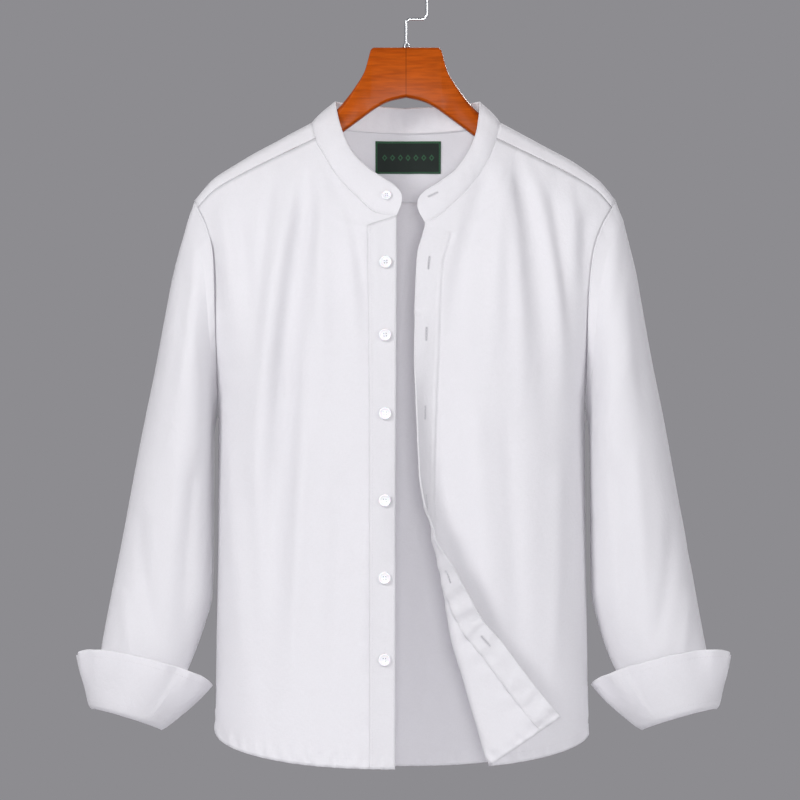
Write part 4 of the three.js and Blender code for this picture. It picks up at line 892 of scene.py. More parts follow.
def front_relief(points, tau, seed):
    """Creases, swellings and seam puckers of a front, before its corner is turned."""
    x, z = points[..., 0], points[..., 2]
    below = np.cumsum(np.linalg.norm(np.diff(points, axis=0, prepend=points[:1]), axis=2), 0)
    shown = smooth(0, 12, (1 - np.abs(tau)) * 300) * smooth(0, 10, below + 6)
    own = np.abs(x)
    gathered = ripples(own, 260, 12, seed) * smooth(0, 5, below) * np.exp(-below / 24)
    to_arm = np.where(z > UNDERARM_Z, armhole_at(z) - np.abs(x - drift_at(z)), 60)
    arm = ripples(-z, 520, 16, seed + 1) * np.exp(-np.maximum(to_arm, 0) / 14) * smooth(0, 4, to_arm)
    return (1.7 * fold_at(x, z, FRONT, FRONT_CREASES) + 1.0 * swells(x, z, 110, seed + 2)
            * smooth(0, 50, below) + 1.1 * gathered + 0.8 * arm) * shown


LEFT_COLUMNS, LEFT_BAND = 128, 16


def left_spread(hand, inner, outer, u):
    band = share_of(hand, inner, outer, BAND_WIDTH)[:, None]
    edge = LEFT_BAND / LEFT_COLUMNS
    return np.where(u < edge, band * u / edge, mix(band, 1, (u - edge) / (1 - edge)))


right_tau, right_way = front_grid(LEFT, left_spread, LEFT_COLUMNS)
right_form, right_form_normals = body_form(right_tau, right_way, (0, -1, 0))
relief = front_relief(right_form, right_tau, 21)
hem_part = hem_relief(right_form[..., 0], right_form[..., 2], FRONT, 22)
edge_step = np.arange(LEFT_COLUMNS + 1) / LEFT_BAND * BAND_WIDTH
band_ripples = ripples(-right_form[..., 2], 920, 17, 23) * np.exp(-((edge_step - BAND_WIDTH - 3) / 7) ** 2)
relief = relief * smooth(4, 40, edge_step) + 0.7 * band_ripples + hem_part
right_points = right_form + right_form_normals * relief[..., None]
right_normals = facing(right_points, (0, -1, 0))
front_right = cloth("front_right_cloth", right_points, (235, 715), right_normals)
placed(front_right, "cotton", "front_right")
front_right_stitches = stitches("front_right_stitching", [
    level_row(right_points[:, LEFT_BAND + 1:], right_normals[:, LEFT_BAND + 1:], HEM_BAND)])

# The button band: a straight strip of the poplin, folded, pressed and sewn to the edge of
# the right front with a row of stitches along each side.
neck_rows = 9 * NECK_CAD_ROWS
band_points = right_points[neck_rows:, :LEFT_BAND + 1]
band_normals = right_normals[neck_rows:, :LEFT_BAND + 1]
band_across = np.linspace(0, 1, LEFT_BAND + 1)
band_dip = 0.35 * np.exp(-((band_across - 0.9) / 0.05) ** 2) + 0.3 * (band_across > 0.985)
band_wave = 0.4 * ripples(-band_points[..., 2], 920, 21, 31) * np.sin(band_across * math.pi)
band_lift = LAY_GAP + BAND_CLOTH - band_dip + np.maximum(band_wave, -0.1)
band_top = lengths_along(band_points[:, 0])[:, None]
band_lift = mix(0.25, band_lift, smooth(0, 16, band_top))
band_points = band_points + band_normals * band_lift[..., None]
band_normals = facing(band_points, (0, -1, 0))
button_band = cloth("button_band_cloth", band_points, (28.5, 620), band_normals, thickness=0.9)
placed(button_band, "cotton", "button_band")
band_stitches = stitches("button_band_stitching", [
    (band_points[:, c] + band_normals[:, c] * 0.05, band_normals[:, c]) for c in (1, 14)])

# The left front, on the viewer's right: it stands open, and its lower corner is turned
# outward so that its inside shows, resting on itself along a soft roll.
ROLL = [  # height, where the roll starts, its radius, how far it turns in degrees
    (-390, 40, 50, 0), (-430, 40, 46, 14), (-480, 41, 36, 40), (-543, 42, 28, 60),
    (-577, 44, 27, 68), (-600, 47, 25.5, 78), (-630, 52, 24, 98), (-679, 54, 16, 142),
    (-742, 59, 11, 166), (-798, 72, 8.5, 168),
    (-855, 87, 7.5, 168), (-900, 101, 7.2, 168), (-960, 122, 7, 168),
]
roll_start_at, roll_radius_at, roll_angle_at = (curve(ROLL, column) for column in (1, 2, 3))
RIGHT_COLUMNS, RIGHT_CAD_COLUMNS, RIGHT_BAND_CAD, RIGHT_ROLL_CAD = 138, 23, 4, 10
RIGHT_BAND = RIGHT_BAND_CAD * RIGHT_COLUMNS // RIGHT_CAD_COLUMNS


def right_spread(hand, inner, outer, u):
    band = share_of(hand, inner, outer, BAND_WIDTH)[:, None]
    edge = plain_point(*inner)
    reach = np.maximum(roll_start_at(edge[..., 2]) - edge[..., 0], BAND_WIDTH + 10)
    start = share_of(hand, inner, outer, reach)[:, None]
    column = u * RIGHT_CAD_COLUMNS
    left = np.clip(1 - (column - RIGHT_BAND_CAD) / RIGHT_ROLL_CAD, 0, 1)
    first = RIGHT_BAND_CAD + RIGHT_ROLL_CAD
    rest = mix(start, 1, (column - first) / (RIGHT_CAD_COLUMNS - first))
    rolled = start - (start - band) * left ** 1.5
    return np.where(column <= RIGHT_BAND_CAD, band * column / RIGHT_BAND_CAD,
                    np.where(column <= first, rolled, rest))


def roll_out(flat, form, normals):
    """Turns the lower corner of the front round the roll; gives points and normals."""
    heights = np.linspace(-975, -380, 590)
    start = place_of(roll_start_at(heights), heights, FRONT)
    feet, lean = spots(*start), spot_normals(*start)
    lower = spots(*place_of(roll_start_at(heights - 4), heights - 4, FRONT))
    along = unit(lower - feet)
    away = unit(np.cross(along, lean))
    away = np.where(away[:, :1] > 0, -away, away)
    z = flat[..., 2]

    def at(data):
        return np.stack([np.interp(z, heights, data[:, k]) for k in range(3)], -1)

    foot, normal, along, away = at(feet), unit(at(lean)), unit(at(along)), unit(at(away))
    reach = roll_start_at(z) - flat[..., 0]
    limit = np.radians(roll_angle_at(z))
    radius = roll_radius_at(z)
    rolled = reach * -away[..., 0]
    turn = np.minimum(rolled / radius, limit)
    rest = rolled - turn * radius
    sin, cos = np.sin(turn), np.cos(turn)
    point = (foot + along * (reach * -along[..., 0])[..., None]
             + away * (radius * sin + rest * cos)[..., None]
             + normal * (radius * (1 - cos) + rest * sin)[..., None])
    turned = normal * cos[..., None] - away * sin[..., None]
    inside = ((reach > 0) & (limit > 0.01))[..., None]
    return np.where(inside, point, form), np.where(inside, turned, normals)


left_tau, left_way = front_grid(RIGHT, right_spread, RIGHT_COLUMNS)
left_flat = plain_point(left_tau, left_way)
left_form, left_form_normals = body_form(left_tau, left_way, (0, -1, 0))
relief = front_relief(left_form, left_tau, 41)
hem_part = hem_relief(left_flat[..., 0], left_flat[..., 2], FRONT, 42)
from_edge = np.arange(RIGHT_COLUMNS + 1) / RIGHT_BAND * BAND_WIDTH
band_ripples = ripples(-left_flat[..., 2], 920, 15, 43) * np.exp(-((from_edge - BAND_WIDTH - 2) / 8) ** 2)
edge_ripples = ripples(-left_flat[..., 2], 920, 19, 44) * np.exp(-(from_edge / 12) ** 2)
turned_part = smooth(-560, -640, left_flat[..., 2])
relief = relief * smooth(4, 60, from_edge) * (1 - 0.7 * turned_part * (left_flat[..., 0] < 70))
relief = relief + (0.45 + 0.6 * turned_part) * band_ripples + (0.3 + turned_part) * edge_ripples + hem_part
band_line = np.exp(-((from_edge - BAND_WIDTH) / 1.1) ** 2) - np.exp(-((from_edge - BAND_WIDTH + 3) / 1.6) ** 2)
band_line = band_line * (np.arange(len(left_flat))[:, None] >= neck_rows)
relief = relief - 0.55 * band_line * (1 - turned_part)
left_points, left_lean = roll_out(left_flat, left_form, left_form_normals)
left_points = left_points + left_lean * relief[..., None]
left_normals = facing(left_points, left_lean)
front_left = cloth("front_left_cloth", left_points, (235, 715), left_normals)
placed(front_left, "cotton", "front_left")
edge_row = (left_points[neck_rows:, RIGHT_BAND] + left_normals[neck_rows:, RIGHT_BAND] * 0.05,
            left_normals[neck_rows:, RIGHT_BAND])
front_left_stitches = stitches("front_left_stitching", [
    level_row(left_points, left_normals, HEM_BAND), edge_row,
    (left_points[neck_rows:, 1] + left_normals[neck_rows:, 1] * 0.05, left_normals[neck_rows:, 1])])

# The buttonhole band: a strip on the inside of the left front's edge, sewn through it.
# Where the corner is turned out, it is the strip that shows, drawn up by its stitching.
hole_points = left_points[neck_rows:, :RIGHT_BAND + 1]
hole_normals = left_normals[neck_rows:, :RIGHT_BAND + 1]
hole_across = np.linspace(0, 1, RIGHT_BAND + 1)
hole_drop = left_flat[neck_rows:, :RIGHT_BAND + 1, 2]
slant = hole_drop + 14 * hole_across
hole_wave = ripples(-slant, 960, 13, 51) * np.sin(hole_across * math.pi) ** 0.5
hole_wave = hole_wave + 0.6 * ripples(-slant, 960, 9, 52) * np.exp(-((hole_across - 0.9) / 0.25) ** 2)
hole_wave = (0.3 + np.clip(3.0 * hole_wave, -0.5, 3.0)) * smooth(-560, -640, hole_drop)
hole_lift = (SHEET + 0.15) * (1 - 0.7 * smooth(0.9, 1, hole_across)) + hole_wave
hole_points = hole_points - hole_normals * hole_lift[..., None]
buttonhole_band = cloth(
    "buttonhole_band_cloth", hole_points, (28.5, 620), hole_normals, thickness=0.6)
placed(buttonhole_band, "cotton", "buttonhole_band")
inside_lift = 0.6 + 0.05
hole_stitches = stitches("buttonhole_band_stitching", [
    (hole_points[:, c] - hole_normals[:, c] * inside_lift, hole_normals[:, c])
    for c in (1, RIGHT_BAND - 2)])


def buttonhole(line, lean, middle, lift, half_length=7.5, half_width=0.9):
    """The two worked sides and the slit of a buttonhole, along a line on the cloth."""
    arcs = lengths_along(line)
    wanted = np.linspace(middle - half_length, middle + half_length, 12)
    points, normals = (np.stack([np.interp(wanted, arcs, data[:, k]) for k in range(3)], -1)
                       for data in (line, lean))
    side = unit(np.cross(normals, np.gradient(points, axis=0)))
    return [(points + side * across + normals * lift, normals)
            for across in (-half_width, 0, half_width)]


HOLE_BACKSET, HOLE_HEIGHTS = 12.5, (-333.4, -414.1, -501.4, -598.1, -684.1, -775.1)
hole_column = round(HOLE_BACKSET / BAND_WIDTH * RIGHT_BAND)
worked, slits = [], []
for z in HOLE_HEIGHTS:
    row = np.abs(hole_drop[:, hole_column] - z).argmin()
    for grid, lean, lift in ((left_points[neck_rows:], left_normals[neck_rows:], 0.15),
                             (hole_points, hole_normals, -0.75)):
        line = grid[:, hole_column]
        left_side, slit, right_side = buttonhole(
            line, lean[:, hole_column], lengths_along(line)[row], lift)
        worked += [left_side, right_side]
        slits.append(slit)
buttonholes = stitches("buttonholes", worked, thread, pitch=0.8, length=0.9, radius=0.6)
# The slits are thin grey rods: painted shade in the cut between the worked sides.
slit_shade = cotton_material("buttonhole_shade", "#cccad1", 0.2)
buttonhole_slit_shades = stitches("buttonhole_slit_shades", slits, slit_shade, pitch=3.2, length=3.6, radius=0.28)

# The collar: a low stand-up band, two layers with a stiff interlining, sewn on round the
# neckline and open in front, with rounded ends and a row of stitches along its edge.
COLLAR_TOP = [  # run along the neckline, width on the left, on the right, y, height
    (0, 0, 0, 22, -156), (0.2, 46, 46, 17.5, -153), (0.37, 80, 83, 3, -149.3),
    (0.46, 77, 82, -13, -164), (0.545, 72.5, 79.5, -25, -181), (0.68, 61.5, 70.5, -39, -206),
    (0.805, 43, 56, -52, -226), (0.87, 32, 44, -58, -234), (0.965, 16.5, 26, -64, -243.5),
    (1, 8.5, 17, -66, -247),
]
COLLAR_COLUMNS, COLLAR_ROWS, COLLAR_ROUNDING, COLLAR_SHEET = 300, 22, 13, 1.5
COLLAR_LAP = 0.8


def collar_base(share):
    """Points and normals along the neckline, from -1 at the left end to 1 at the right."""
    points = np.concatenate([
        right_form[1:neck_rows + 1, 0][::-1], yoke_points[0], left_form[1:neck_rows + 1, 0]])
    normals = np.concatenate([
        right_form_normals[1:neck_rows + 1, 0][::-1], yoke_normals[0],
        left_form_normals[1:neck_rows + 1, 0]])
    arcs = lengths_along(points)
    middle = arcs[neck_rows + YOKE_COLUMNS // 2]
    wanted = np.where(share < 0, middle * (1 + share), middle + (arcs[-1] - middle) * share)
    length = np.where(share < 0, middle, arcs[-1] - middle)
    points, normals = (
        np.stack([np.interp(wanted, arcs, data[:, k]) for k in range(3)], -1)
        for data in (points, normals))
    return points, unit(normals), length


def collar_grid():
    share = np.linspace(-1, 1, COLLAR_COLUMNS + 1)
    share = mix(share, np.sin(share * math.pi / 2), 0.75)
    run = np.abs(share)
    base, normals, length = collar_base(share)
    width = np.where(share < 0, -curve(COLLAR_TOP, 1)(run), curve(COLLAR_TOP, 2)(run))
    slip = np.where(share < 0, 0, -6 * smooth(0.7, 1, run))
    top = np.stack([width, curve(COLLAR_TOP, 3)(run), curve(COLLAR_TOP, 4)(run) + slip], -1)
    rise = top - base
    height = np.linalg.norm(rise, axis=-1)
    inset = np.maximum(COLLAR_ROUNDING - length * (1 - run), 0)
    cut = COLLAR_ROUNDING - np.sqrt(np.maximum(COLLAR_ROUNDING ** 2 - inset ** 2, 0))
    up = mix((height - cut) / height, -COLLAR_LAP / height,
             np.linspace(0, 1, COLLAR_ROWS + 1)[:, None])
    swell = 2.2 * np.sin(math.pi * up)
    along = share * length
    swell = swell + 0.35 * ripples(along + 320, 640, 13, 61) * np.sin(math.pi * up) * up
    swell = swell + 0.35 * swells(along, up * 30, 45, 62) * up
    behind = ripples(along + 320, 640, 9, 63) * smooth(0.32, 0.12, run)
    swell = swell + 0.8 * behind * np.sin(math.pi * np.clip(up, 0, 1)) * (1 - 0.6 * up)
    points = base + rise * up[..., None] + normals * (swell + 0.45 * smooth(0, 0.15, up) - 0.15)[..., None]
    bulge = np.where(share < 0, 5, -6.5) * smooth(0.9, 1, run) * np.sin(math.pi * np.clip(up, 0, 1))
    points[..., 0] += bulge
    return points


collar_points = collar_grid()
collar_out = collar_points * (1, 1, 0) + (0, 20, 0)
collar_normals = facing(collar_points, collar_out)
collar = cloth("collar_cloth", collar_points, (583, 36), collar_normals, thickness=COLLAR_SHEET)
placed(collar, "cotton", "collar")


def between(points, normals, share, lift=0.05):
    """A line across a grid's rows at a share of them, just above the cloth."""
    place = share * (len(points) - 1)
    row = int(place)
    part = place - row
    line = mix(points[row], points[row + 1], part)
    lean = unit(mix(normals[row], normals[row + 1], part))
    return line + lean * lift, lean


collar_stitches = stitches("collar_stitching", [
    tuple(part[3:-3] for part in between(collar_points, collar_normals, share))
    for share in (0.06, 0.94)], pitch=2.8, length=1.9)
COLLAR_HOLE_X, COLLAR_HOLE_Z = 30.6, -257.7
away = np.hypot(collar_points[..., 0] - COLLAR_HOLE_X, collar_points[..., 2] - COLLAR_HOLE_Z)
row, column = np.unravel_index(away.argmin(), away.shape)
upper_side, collar_slit, lower_side = buttonhole(
    collar_points[row], collar_normals[row], lengths_along(collar_points[row])[column], 0.15, 6.5)
collar_hole = stitches("collar_buttonhole", [upper_side, lower_side], thread, pitch=0.8,
                       length=0.9, radius=0.6)
# The collar's slit is a thin grey rod too: painted shade in the cut.
collar_hole_slit_shade = stitches("collar_buttonhole_slit_shade", [collar_slit], slit_shade, pitch=3.2,
                            length=3.6, radius=0.28)

# The sleeves: one piece of poplin each, closed along the underarm and set into the
# armhole with a little ease, which leaves small puckers round its head.
SLEEVE = [  # outer x and height, inner x and height, half depth, setback, share of the armhole
    (245.5, -283, 209.5, -511, 46, 0, 0.75), (254.5, -317, 211, -521, 54, 1, 0.45),
    (262.5, -351, 211.5, -535, 59, 2, 0.2), (272.5, -402, 211.8, -557, 61, 4, 0),
    (282.5, -455, 212, -586, 61, 6, 0), (295.5, -520, 212.2, -624, 59, 8, 0),
    (309, -590, 212.5, -666, 56, 9, 0), (321, -655, 214, -706, 52, 10, 0),
    (332, -713, 222.5, -741, 48, 10, 0), (341, -760, 236, -779, 43, 9, 0),
    (346.5, -795, 254, -815, 37, 8, 0), (350, -820, 274.5, -841, 31, 8, 0),
]
SLEEVE_DRIFT = 0.45
SLEEVE_ROWS, SLEEVE_COLUMNS = 168, 112
SLEEVE_CREASES = {
    LEFT: [
        (FRONT, -2.6, 8, -231.6, -540, -242, -639, -250, -800),
        (FRONT, -2.4, 9, -299, -600, -289, -712, -262, -800),
        (FRONT, 2.0, 9, -252, -520, -262, -640, -272, -800),
        (FRONT, -1.8, 8, -246, -330, -258, -430, -272, -560),
        (FRONT, 1.8, 8, -236, -300, -238, -380, -244, -500),
        (FRONT, 1.8, 8, -318, -690, -312, -750, -300, -818),
        (BACK, -2.4, 9, -262, -420, -270, -560, -282, -760),
        (BACK, 2.0, 9, -240, -500, -252, -620, -268, -780),
        (BACK, -1.8, 8, -312, -640, -306, -720, -296, -810),
    ],
    RIGHT: [
        (FRONT, 2.6, 9, 236, -272, 232, -340, 219, -430),
        (FRONT, -2.6, 8, 232, -545, 243, -650, 252, -800),
        (FRONT, -2.2, 9, 300, -610, 290, -715, 268, -800),
        (FRONT, 2.0, 9, 254, -520, 264, -640, 274, -800),
        (FRONT, -1.8, 8, 252, -340, 262, -440, 276, -560),
        (FRONT, 1.8, 8, 320, -690, 314, -750, 302, -818),
        (BACK, -2.4, 9, 258, -420, 268, -560, 280, -750),
        (BACK, 2.0, 9, 242, -500, 254, -620, 268, -780),
        (BACK, -1.8, 8, 314, -640, 308, -720, 298, -810),
    ],
}


def armhole_loop(hand):
    """Places round the armhole: down the front, up behind and over the shoulder."""
    over = len(YOKE_ARM_WAYS) + 1
    turns = ARM_CAD_ROWS + 6
    step = np.linspace(0, turns + over, 1400)
    z_front = mix(front_arm_top, UNDERARM_Z, np.clip(step / ARM_CAD_ROWS, 0, 1))
    own_front = armhole_at(z_front) + front_arm_corner * np.clip(1 - step, 0, 1)
    z_back = mix(UNDERARM_Z, BACK_SEAM_ARM, np.clip((step - ARM_CAD_ROWS) / 6, 0, 1))
    start = float(way_at(ridge_at(armhole_at(BACK_SEAM_ARM)) - BACK_SEAM_ARM))
    ways = [start, *YOKE_ARM_WAYS, -float(way_at(FRONT_SEAM_ARM[1]))]
    way_over = np.interp(step, range(turns, turns + over + 1), ways)
    x_over, z_over = armhole_by_way(way_over)
    places = [own_place(hand * own_front, z_front, FRONT),
              own_place(hand * armhole_at(z_back), z_back, BACK),
              (hand * tau_at(x_over / half_width_at(z_over)), way_over)]
    part = [step <= ARM_CAD_ROWS, step <= turns]
    tau, way = (np.select(part, [place[k] for place in places[:2]], places[2][k]) for k in (0, 1))
    points = spots(tau, way)
    arcs = lengths_along(points)
    even = np.linspace(0, arcs[-1], SLEEVE_COLUMNS + 1)
    loop = np.stack([np.interp(even, arcs, points[:, k]) for k in range(3)], -1)
    loop[-1] = loop[0]
    return loop


def sleeve_grid(hand):
    loop = armhole_loop(hand)
    tip, foot = loop[loop[:, 2].argmax()], loop[loop[:, 2].argmin()]
    f = (tip[2] - loop[:, 2]) / (tip[2] - foot[2])
    bow = loop[:, 0] - mix(tip[0], foot[0], f)
    thick = loop[:, 1] / np.abs(loop[:, 1]).max()
    round_share = np.sqrt(np.maximum(1 - (2 * f - 1) ** 2, 0)) * np.sign(loop[:, 1])
    rows = [(i + 1, *row) for i, row in enumerate(SLEEVE)]
    place = np.linspace(0, len(SLEEVE), SLEEVE_ROWS + 1)
    out_x, out_z, in_x, in_z, depth, setback, own = (
        curve(rows, column)(np.maximum(place, 1))[:, None] for column in range(1, 8))
    outer = np.stack([hand * out_x + drift_at(out_z) * SLEEVE_DRIFT, setback, out_z], -1)
    inner = np.stack([hand * in_x + drift_at(in_z), setback * 0.4, in_z], -1)
    points = outer + (inner - outer) * f[None, :, None]
    points[..., 0] += bow * own
    points[..., 1] += depth * mix(round_share[None], thick[None], own)
    joined = np.clip(place, 0, 1)[:, None, None]
    first = loop + (hand * (SEAM_GAP + 0.1), 0, 0)
    return mix(first[None], points, joined), place[:, None], np.sign(loop[:, 1])[None]


sleeve_points = {}
for hand, side_name, node in ((LEFT, "right", "sleeve_right"), (RIGHT, "left", "sleeve_left")):
    points, place, side = sleeve_grid(hand)
    centre = points[:, :-1].mean(1, keepdims=True)
    outward = points - centre
    normals = facing(points, outward, closed=True)
    x, z = points[..., 0], points[..., 2]
    around = lengths_along(points[0])[None]
    seed = 70 if hand == LEFT else 80
    relief = fold_at(x, z, np.broadcast_to(side, x.shape), SLEEVE_CREASES[hand])
    ease = smooth(0.0, 0.15, place)
    relief = relief + 0.9 * swells(x + side * 400, z, 90, seed) * smooth(0.5, 3, place)
    relief = relief + 0.7 * ripples(around, around[0, -1], 13, seed + 1) * ease * np.exp(-place / 0.55)
    gather = ripples(around, around[0, -1], 22, seed + 2) * smooth(10.3, 11.8, place)
    relief = relief + 1.1 * gather * smooth(12, 11.9, place) - 0.3 * np.exp(-place / 0.03)
    relief[:, -1] = relief[:, 0]
    points = points + normals * relief[..., None]
    points[:, -1] = points[:, 0]
    normals = facing(points, outward, closed=True)
    sleeve = cloth(f"sleeve_{side_name}_cloth", points, (420, 590), normals, closed=True)
    placed(sleeve, "cotton", node)
    seam = points[2] + normals[2] * 0.05
    sleeve_stitches = stitches(f"sleeve_{side_name}_stitching", [(seam, normals[2])])
    sleeve_points[hand] = points

# The cuffs: interlined bands turned back once, so that they flare round the sleeves' ends.
# One end laps over the other, and the free edge is topstitched and a little wavy.
CUFF = [  # outer x and height, inner x and height, half depth, setback, lift in front
    (348.8, -821.4, 275.9, -841.9, 29.6, 8, 0), (350, -831, 275.6, -852, 32, 8, 3),
    (353, -836.5, 272, -859.5, 36, 8, 5.5), (356.5, -833, 266.5, -857, 41, 8, 6.5),
    (362, -811, 245, -840, 48, 7, 11), (367, -792, 227, -824, 53, 6, 15),
    (369.4, -775, 213.4, -809.5, 57, 5, 18.5),
]
CUFF_ROWS, CUFF_COLUMNS, CUFF_SHEET = 72, 144, 1.2
CUFF_LAP = 124


def cuff_grid(hand, seed):
    rows = [(i, *row) for i, row in enumerate(CUFF)]
    place = np.linspace(0, len(CUFF) - 1, CUFF_ROWS + 1)[:, None]
    angle = np.linspace(0, 2 * math.pi, CUFF_COLUMNS + 1)[None]
    out_x, out_z, in_x, in_z, depth, setback, lift = (
        curve(rows, column)(place) for column in range(1, 8))
    f = (1 - np.cos(angle)) / 2
    drift = mix(drift_at(out_z) * SLEEVE_DRIFT, drift_at(in_z), f)
    x = hand * mix(out_x, in_x, f) + drift
    y = mix(setback, 0, f) - depth * np.sin(angle)
    z = mix(out_z, in_z, f) + lift * np.maximum(np.sin(angle), 0)
    points = np.stack([x, y, z], -1)
    middle = points[:, :-1].mean(1, keepdims=True)
    outward = (points - middle) * np.where(place < 2.4, -1, 1)[..., None]
    normals = facing(points, outward, closed=True)
    girth = 280.0
    along = angle / (2 * math.pi) * girth
    turned = smooth(3.0, 4.2, place)
    near_edge = np.exp(-((6 - place) / 0.9) ** 2)
    relief = (1.5 * ripples(along, girth, 12, seed) * near_edge
              + 0.8 * swells(along, place * 8, 60, seed + 1)) * turned
    degrees = np.degrees(angle)
    lap = smooth(CUFF_LAP - 1.6, CUFF_LAP + 0.4, degrees) * smooth(CUFF_LAP + 44, CUFF_LAP + 6, degrees)
    relief = relief + 1.1 * lap * turned
    relief[:, -1] = relief[:, 0]
    points = points + normals * relief[..., None]
    points[..., 2] += 0.8 * ripples(along, girth, 40, seed + 2) * smooth(4.5, 6, place)
    points[:, -1] = points[:, 0]
    return points, facing(points, outward, closed=True)


for hand, side_name, node in ((LEFT, "right", "cuff_right"), (RIGHT, "left", "cuff_left")):
    points, normals = cuff_grid(hand, 90 if hand == LEFT else 95)
    cuff = cloth(f"cuff_{side_name}_cloth", points, (440, 90), normals, True, CUFF_SHEET)
    placed(cuff, "cotton", node)
    cuff_stitches = stitches(f"cuff_{side_name}_stitching", [
        between(points, normals, share) for share in (0.93, 0.56)])

# The buttons: cast white resin, turned to a raised rim and a shallow dish, with four holes
# and a cross of thread; the holes are not cut but are grey discs of painted shade. They are glossier than the
# cloth and slightly see-through.
BUTTON_RADIUS, COLLAR_BUTTON_RADIUS, BUTTON_THICKNESS = 7.1, 5.6, 3.0
BUTTON_PROFILE = [  # share of the radius, share of the thickness
    (0, 0), (0.7, 0), (0.86, 0.12), (0.96, 0.34), (1, 0.56), (0.985, 0.76), (0.93, 0.92),
    (0.86, 0.995), (0.79, 0.98), (0.7, 0.86), (0.6, 0.74), (0.45, 0.68), (0, 0.66),
]


def resin_material(name, colour, roughness):
    """Polyester resin, tumbled to a soft gloss; light goes a little way into it."""
    material, tree, output = new_material(name)
    place = add(tree, "ShaderNodeTexCoord").outputs["Object"]
    cloud = add(tree, "ShaderNodeTexNoise", {"Vector": place, "Scale": 300, "Detail": 2})
    rough = add(tree, "ShaderNodeMapRange", {
        "Value": cloud.outputs["Fac"], "To Min": roughness - 0.05, "To Max": roughness + 0.1})
    body = add(tree, "ShaderNodeBsdfPrincipled", {
        "Base Color": linear(colour), "Roughness": rough.outputs["Result"],
        "Subsurface Weight": 0.2, "Subsurface Scale": 0.002, "Coat Weight": 0.3,
        "Coat Roughness": 0.15})
    tree.links.new(body.outputs["BSDF"], output.inputs["Surface"])
    return material


resin = resin_material("white_resin", "#ebeaee", 0.28)
hole_shade = resin_material("button_hole_shade", "#8f8e95", 0.6)


def button_matrix(name, normal):
    low, high = (Vector(corner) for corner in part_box(name))
    turn = Vector((0, 0, 1)).rotation_difference(Vector(normal))
    centre = (low + high) / 2
    matrix = turn.to_matrix().to_4x4()
    matrix.translation = centre - Vector(normal) * (BUTTON_THICKNESS / 2000)
    return matrix


def make_button(name, radius, normal):
    piece = lathe(f"{name}_resin", [(r * radius, z * BUTTON_THICKNESS) for r, z in BUTTON_PROFILE],
                  40, resin)
    piece.data.materials.append(hole_shade)
    piece.data.materials.append(thread)
    bm = bmesh.new()
    bm.from_mesh(piece.data)
    spread = 0.21 * radius / 1000
    floor = 0.665 * BUTTON_THICKNESS / 1000
    # The four holes are flat grey discs of painted shade laid on the dish, not cut through.
    for x, y in ((1, 1), (1, -1), (-1, -1), (-1, 1)):
        place = Matrix.Translation((x * spread, y * spread, floor + 0.00003))
        made = bmesh.ops.create_circle(
            bm, cap_ends=True, segments=12, radius=0.11 * radius / 1000, matrix=place)
        for face in {face for vert in made["verts"] for face in vert.link_faces}:
            face.material_index = 1
    for turn in (45, -45):
        place = (Matrix.Translation((0, 0, floor + 0.00022)) @ Matrix.Rotation(math.radians(turn), 4, "Z")
                 @ Matrix.Diagonal((2.9 * spread, 0.00042, 0.0003, 1)))
        made = bmesh.ops.create_icosphere(bm, subdivisions=2, radius=0.5, matrix=place)
        for face in {face for vert in made["verts"] for face in vert.link_faces}:
            face.material_index = 2
    bm.to_mesh(piece.data)
    bm.free()
    piece.data.shade_smooth()
    piece.data.transform(button_matrix(name, normal))
    placed(piece, "button", name)


collar_button_box = [Vector(corner) * 1000 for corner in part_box("button_1")]
collar_button_centre = np.array(collar_button_box[0] + collar_button_box[1]) / 2
near = np.linalg.norm(collar_points - collar_button_centre, axis=-1).argmin()
make_button("button_1", COLLAR_BUTTON_RADIUS, collar_normals.reshape(-1, 3)[near])
for number in range(2, 8):
    low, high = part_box(f"button_{number}")
    x, z = (low[0] + high[0]) * 500, (low[2] + high[2]) * 500
    normal = spot_normals(*(np.atleast_1d(part) for part in place_of(x, z, FRONT)))[0]
    make_button(f"button_{number}", BUTTON_RADIUS, normal)

# The label: a small woven patch, dark green, with a lighter woven edge and one row of
# lozenges, sewn flat inside the back of the neck by its edges.
LABEL_LEFT, LABEL_RIGHT, LABEL_TOP, LABEL_BOTTOM = -35, 40, -191.2, -227.4
LABEL_WIDTH, LABEL_HEIGHT = LABEL_RIGHT - LABEL_LEFT, 37


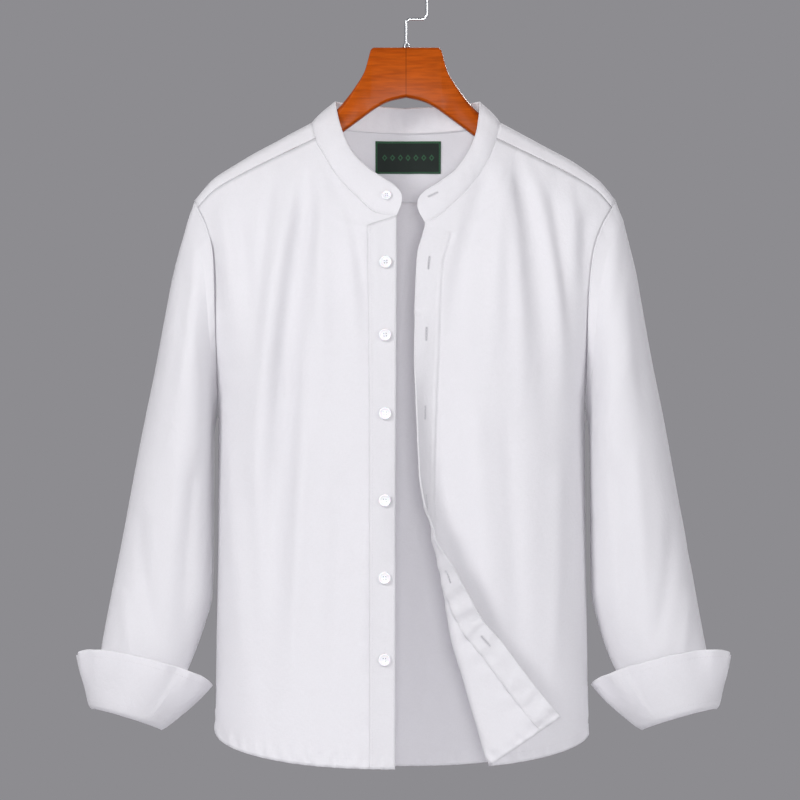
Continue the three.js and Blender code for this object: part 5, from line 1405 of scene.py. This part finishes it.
def label_material():
    """Damask woven polyester: matt dark green ground, satin threads in a lighter green."""
    material, tree, output = new_material("woven_green_label")
    uv = add(tree, "ShaderNodeSeparateXYZ", {"Vector": add(tree, "ShaderNodeTexCoord").outputs["UV"]})

    def maths(kind, a, b=0.0):
        return add(tree, "ShaderNodeMath", {0: a, 1: b}, operation=kind).outputs["Value"]

    across = maths("ABSOLUTE", maths("SUBTRACT", uv.outputs["X"], LABEL_WIDTH / 2000))
    down = maths("ABSOLUTE", maths("SUBTRACT", uv.outputs["Y"], LABEL_HEIGHT / 2000))
    border = maths("MAXIMUM", maths("GREATER_THAN", across, LABEL_WIDTH / 2000 - 0.0022),
                   maths("GREATER_THAN", down, LABEL_HEIGHT / 2000 - 0.0022))
    pitch = 0.009
    cell = maths("ABSOLUTE", maths(
        "SUBTRACT", maths("MODULO", maths("ADD", uv.outputs["X"], pitch / 3), pitch), pitch / 2))
    lozenge = maths("LESS_THAN", maths("ADD", cell, maths("MULTIPLY", down, 0.8)), 0.003)
    lozenge = maths("MULTIPLY", lozenge, maths("LESS_THAN", across, 0.0315))
    inner = maths("LESS_THAN", maths("ADD", cell, maths("MULTIPLY", down, 0.8)), 0.0014)
    drawn = maths("MAXIMUM", border, maths("SUBTRACT", lozenge, inner))
    colour = add(tree, "ShaderNodeValToRGB", {"Fac": drawn})
    colour.color_ramp.elements[0].color = linear("#13201a")
    colour.color_ramp.elements[1].color = linear("#2c5a3c")
    threads = add(tree, "ShaderNodeTexWave", {
        "Vector": add(tree, "ShaderNodeTexCoord").outputs["UV"], "Scale": 700.0},
        bands_direction="Y")
    bump = add(tree, "ShaderNodeBump", {
        "Height": threads.outputs["Fac"], "Strength": 0.3, "Distance": 0.0002})
    woven = add(tree, "ShaderNodeBsdfPrincipled", {
        "Base Color": colour.outputs["Color"], "Roughness": 0.7, "Normal": bump.outputs["Normal"]})
    tree.links.new(woven.outputs["BSDF"], output.inputs["Surface"])
    return material


label_x = np.linspace(LABEL_LEFT, LABEL_RIGHT, 61)[None]
label_z = np.linspace(LABEL_TOP, LABEL_BOTTOM, 31)[:, None]
label_tau, label_way = place_of(np.broadcast_to(label_x, (31, 61)), np.broadcast_to(label_z, (31, 61)), BACK)
label_points, label_normals = body_form(label_tau, label_way, (0, 1, 0))
label_points = label_points - label_normals * (CLOTH + LAY_GAP + 0.25)
label_wave = swells(label_points[..., 0], label_points[..., 2], 40, 99) * 0.3
label_points = label_points - label_normals * label_wave[..., None]
label = cloth("label_cloth", label_points, (LABEL_WIDTH, LABEL_HEIGHT), -label_normals,
              thickness=0.5, material=label_material())
placed(label, "label", "label")
label_edge = [label_points[1], label_points[-2], label_points[:, 1], label_points[:, -2]]
label_lean = [label_normals[1], label_normals[-2], label_normals[:, 1], label_normals[:, -2]]
label_thread = cotton_material("green_sewing_thread", "#24452f", 0.2)
label_stitches = stitches("label_stitching", [
    (line - lean * 0.05, -lean) for line, lean in zip(label_edge, label_lean)], label_thread)

# The studio: a plain pale floor well below the hem, grey air all round, one broad soft
# light from the upper left, weaker ones from the front and the right, and one behind.
floor_mesh = bpy.data.meshes.new("floor")
bm = bmesh.new()
bmesh.ops.create_circle(bm, cap_ends=True, segments=96, radius=2.6,
                        matrix=Matrix.Translation((0, 0, -1.25)))
bm.to_mesh(floor_mesh)
bm.free()
floor_material, floor_tree, floor_output = new_material("pale_floor")
floor_shell = add(floor_tree, "ShaderNodeBsdfPrincipled", {
    "Base Color": linear("#b9b8bc"), "Roughness": 0.8})
floor_tree.links.new(floor_shell.outputs["BSDF"], floor_output.inputs["Surface"])
floor_mesh.materials.append(floor_material)
floor = bpy.data.objects.new("floor", floor_mesh)
bpy.context.scene.collection.objects.link(floor)

world = bpy.data.worlds.new("studio")
bpy.context.scene.world = world
world.use_nodes = True
world.node_tree.nodes["Background"].inputs["Color"].default_value = linear("#8d8c90")
world.node_tree.nodes["Background"].inputs["Strength"].default_value = 1.0


def soft_light(name, place, target, size, watts, colour):
    data = bpy.data.lights.new(name, "AREA")
    data.shape = "DISK"
    data.size = size
    data.energy = watts
    data.color = linear(colour)[:3]
    light = bpy.data.objects.new(name, data)
    light.location = place
    light.rotation_euler = (Vector(target) - Vector(place)).to_track_quat("-Z", "Y").to_euler()
    bpy.context.scene.collection.objects.link(light)


soft_light("key", (-2.7, -3.1, 1.5), (0, 0, -0.45), 1.1, 108, "#ffffff")
soft_light("fill", (0.1, -4.9, -0.45), (0, 0, -0.5), 0.7, 82, "#ffffff")
soft_light("side", (3.4, -2.7, 0.2), (0.1, 0, -0.5), 1.5, 44, "#ffffff")
soft_light("behind", (0.9, 3.8, 1.2), (0, 0, -0.5), 1.6, 150, "#ffffff")
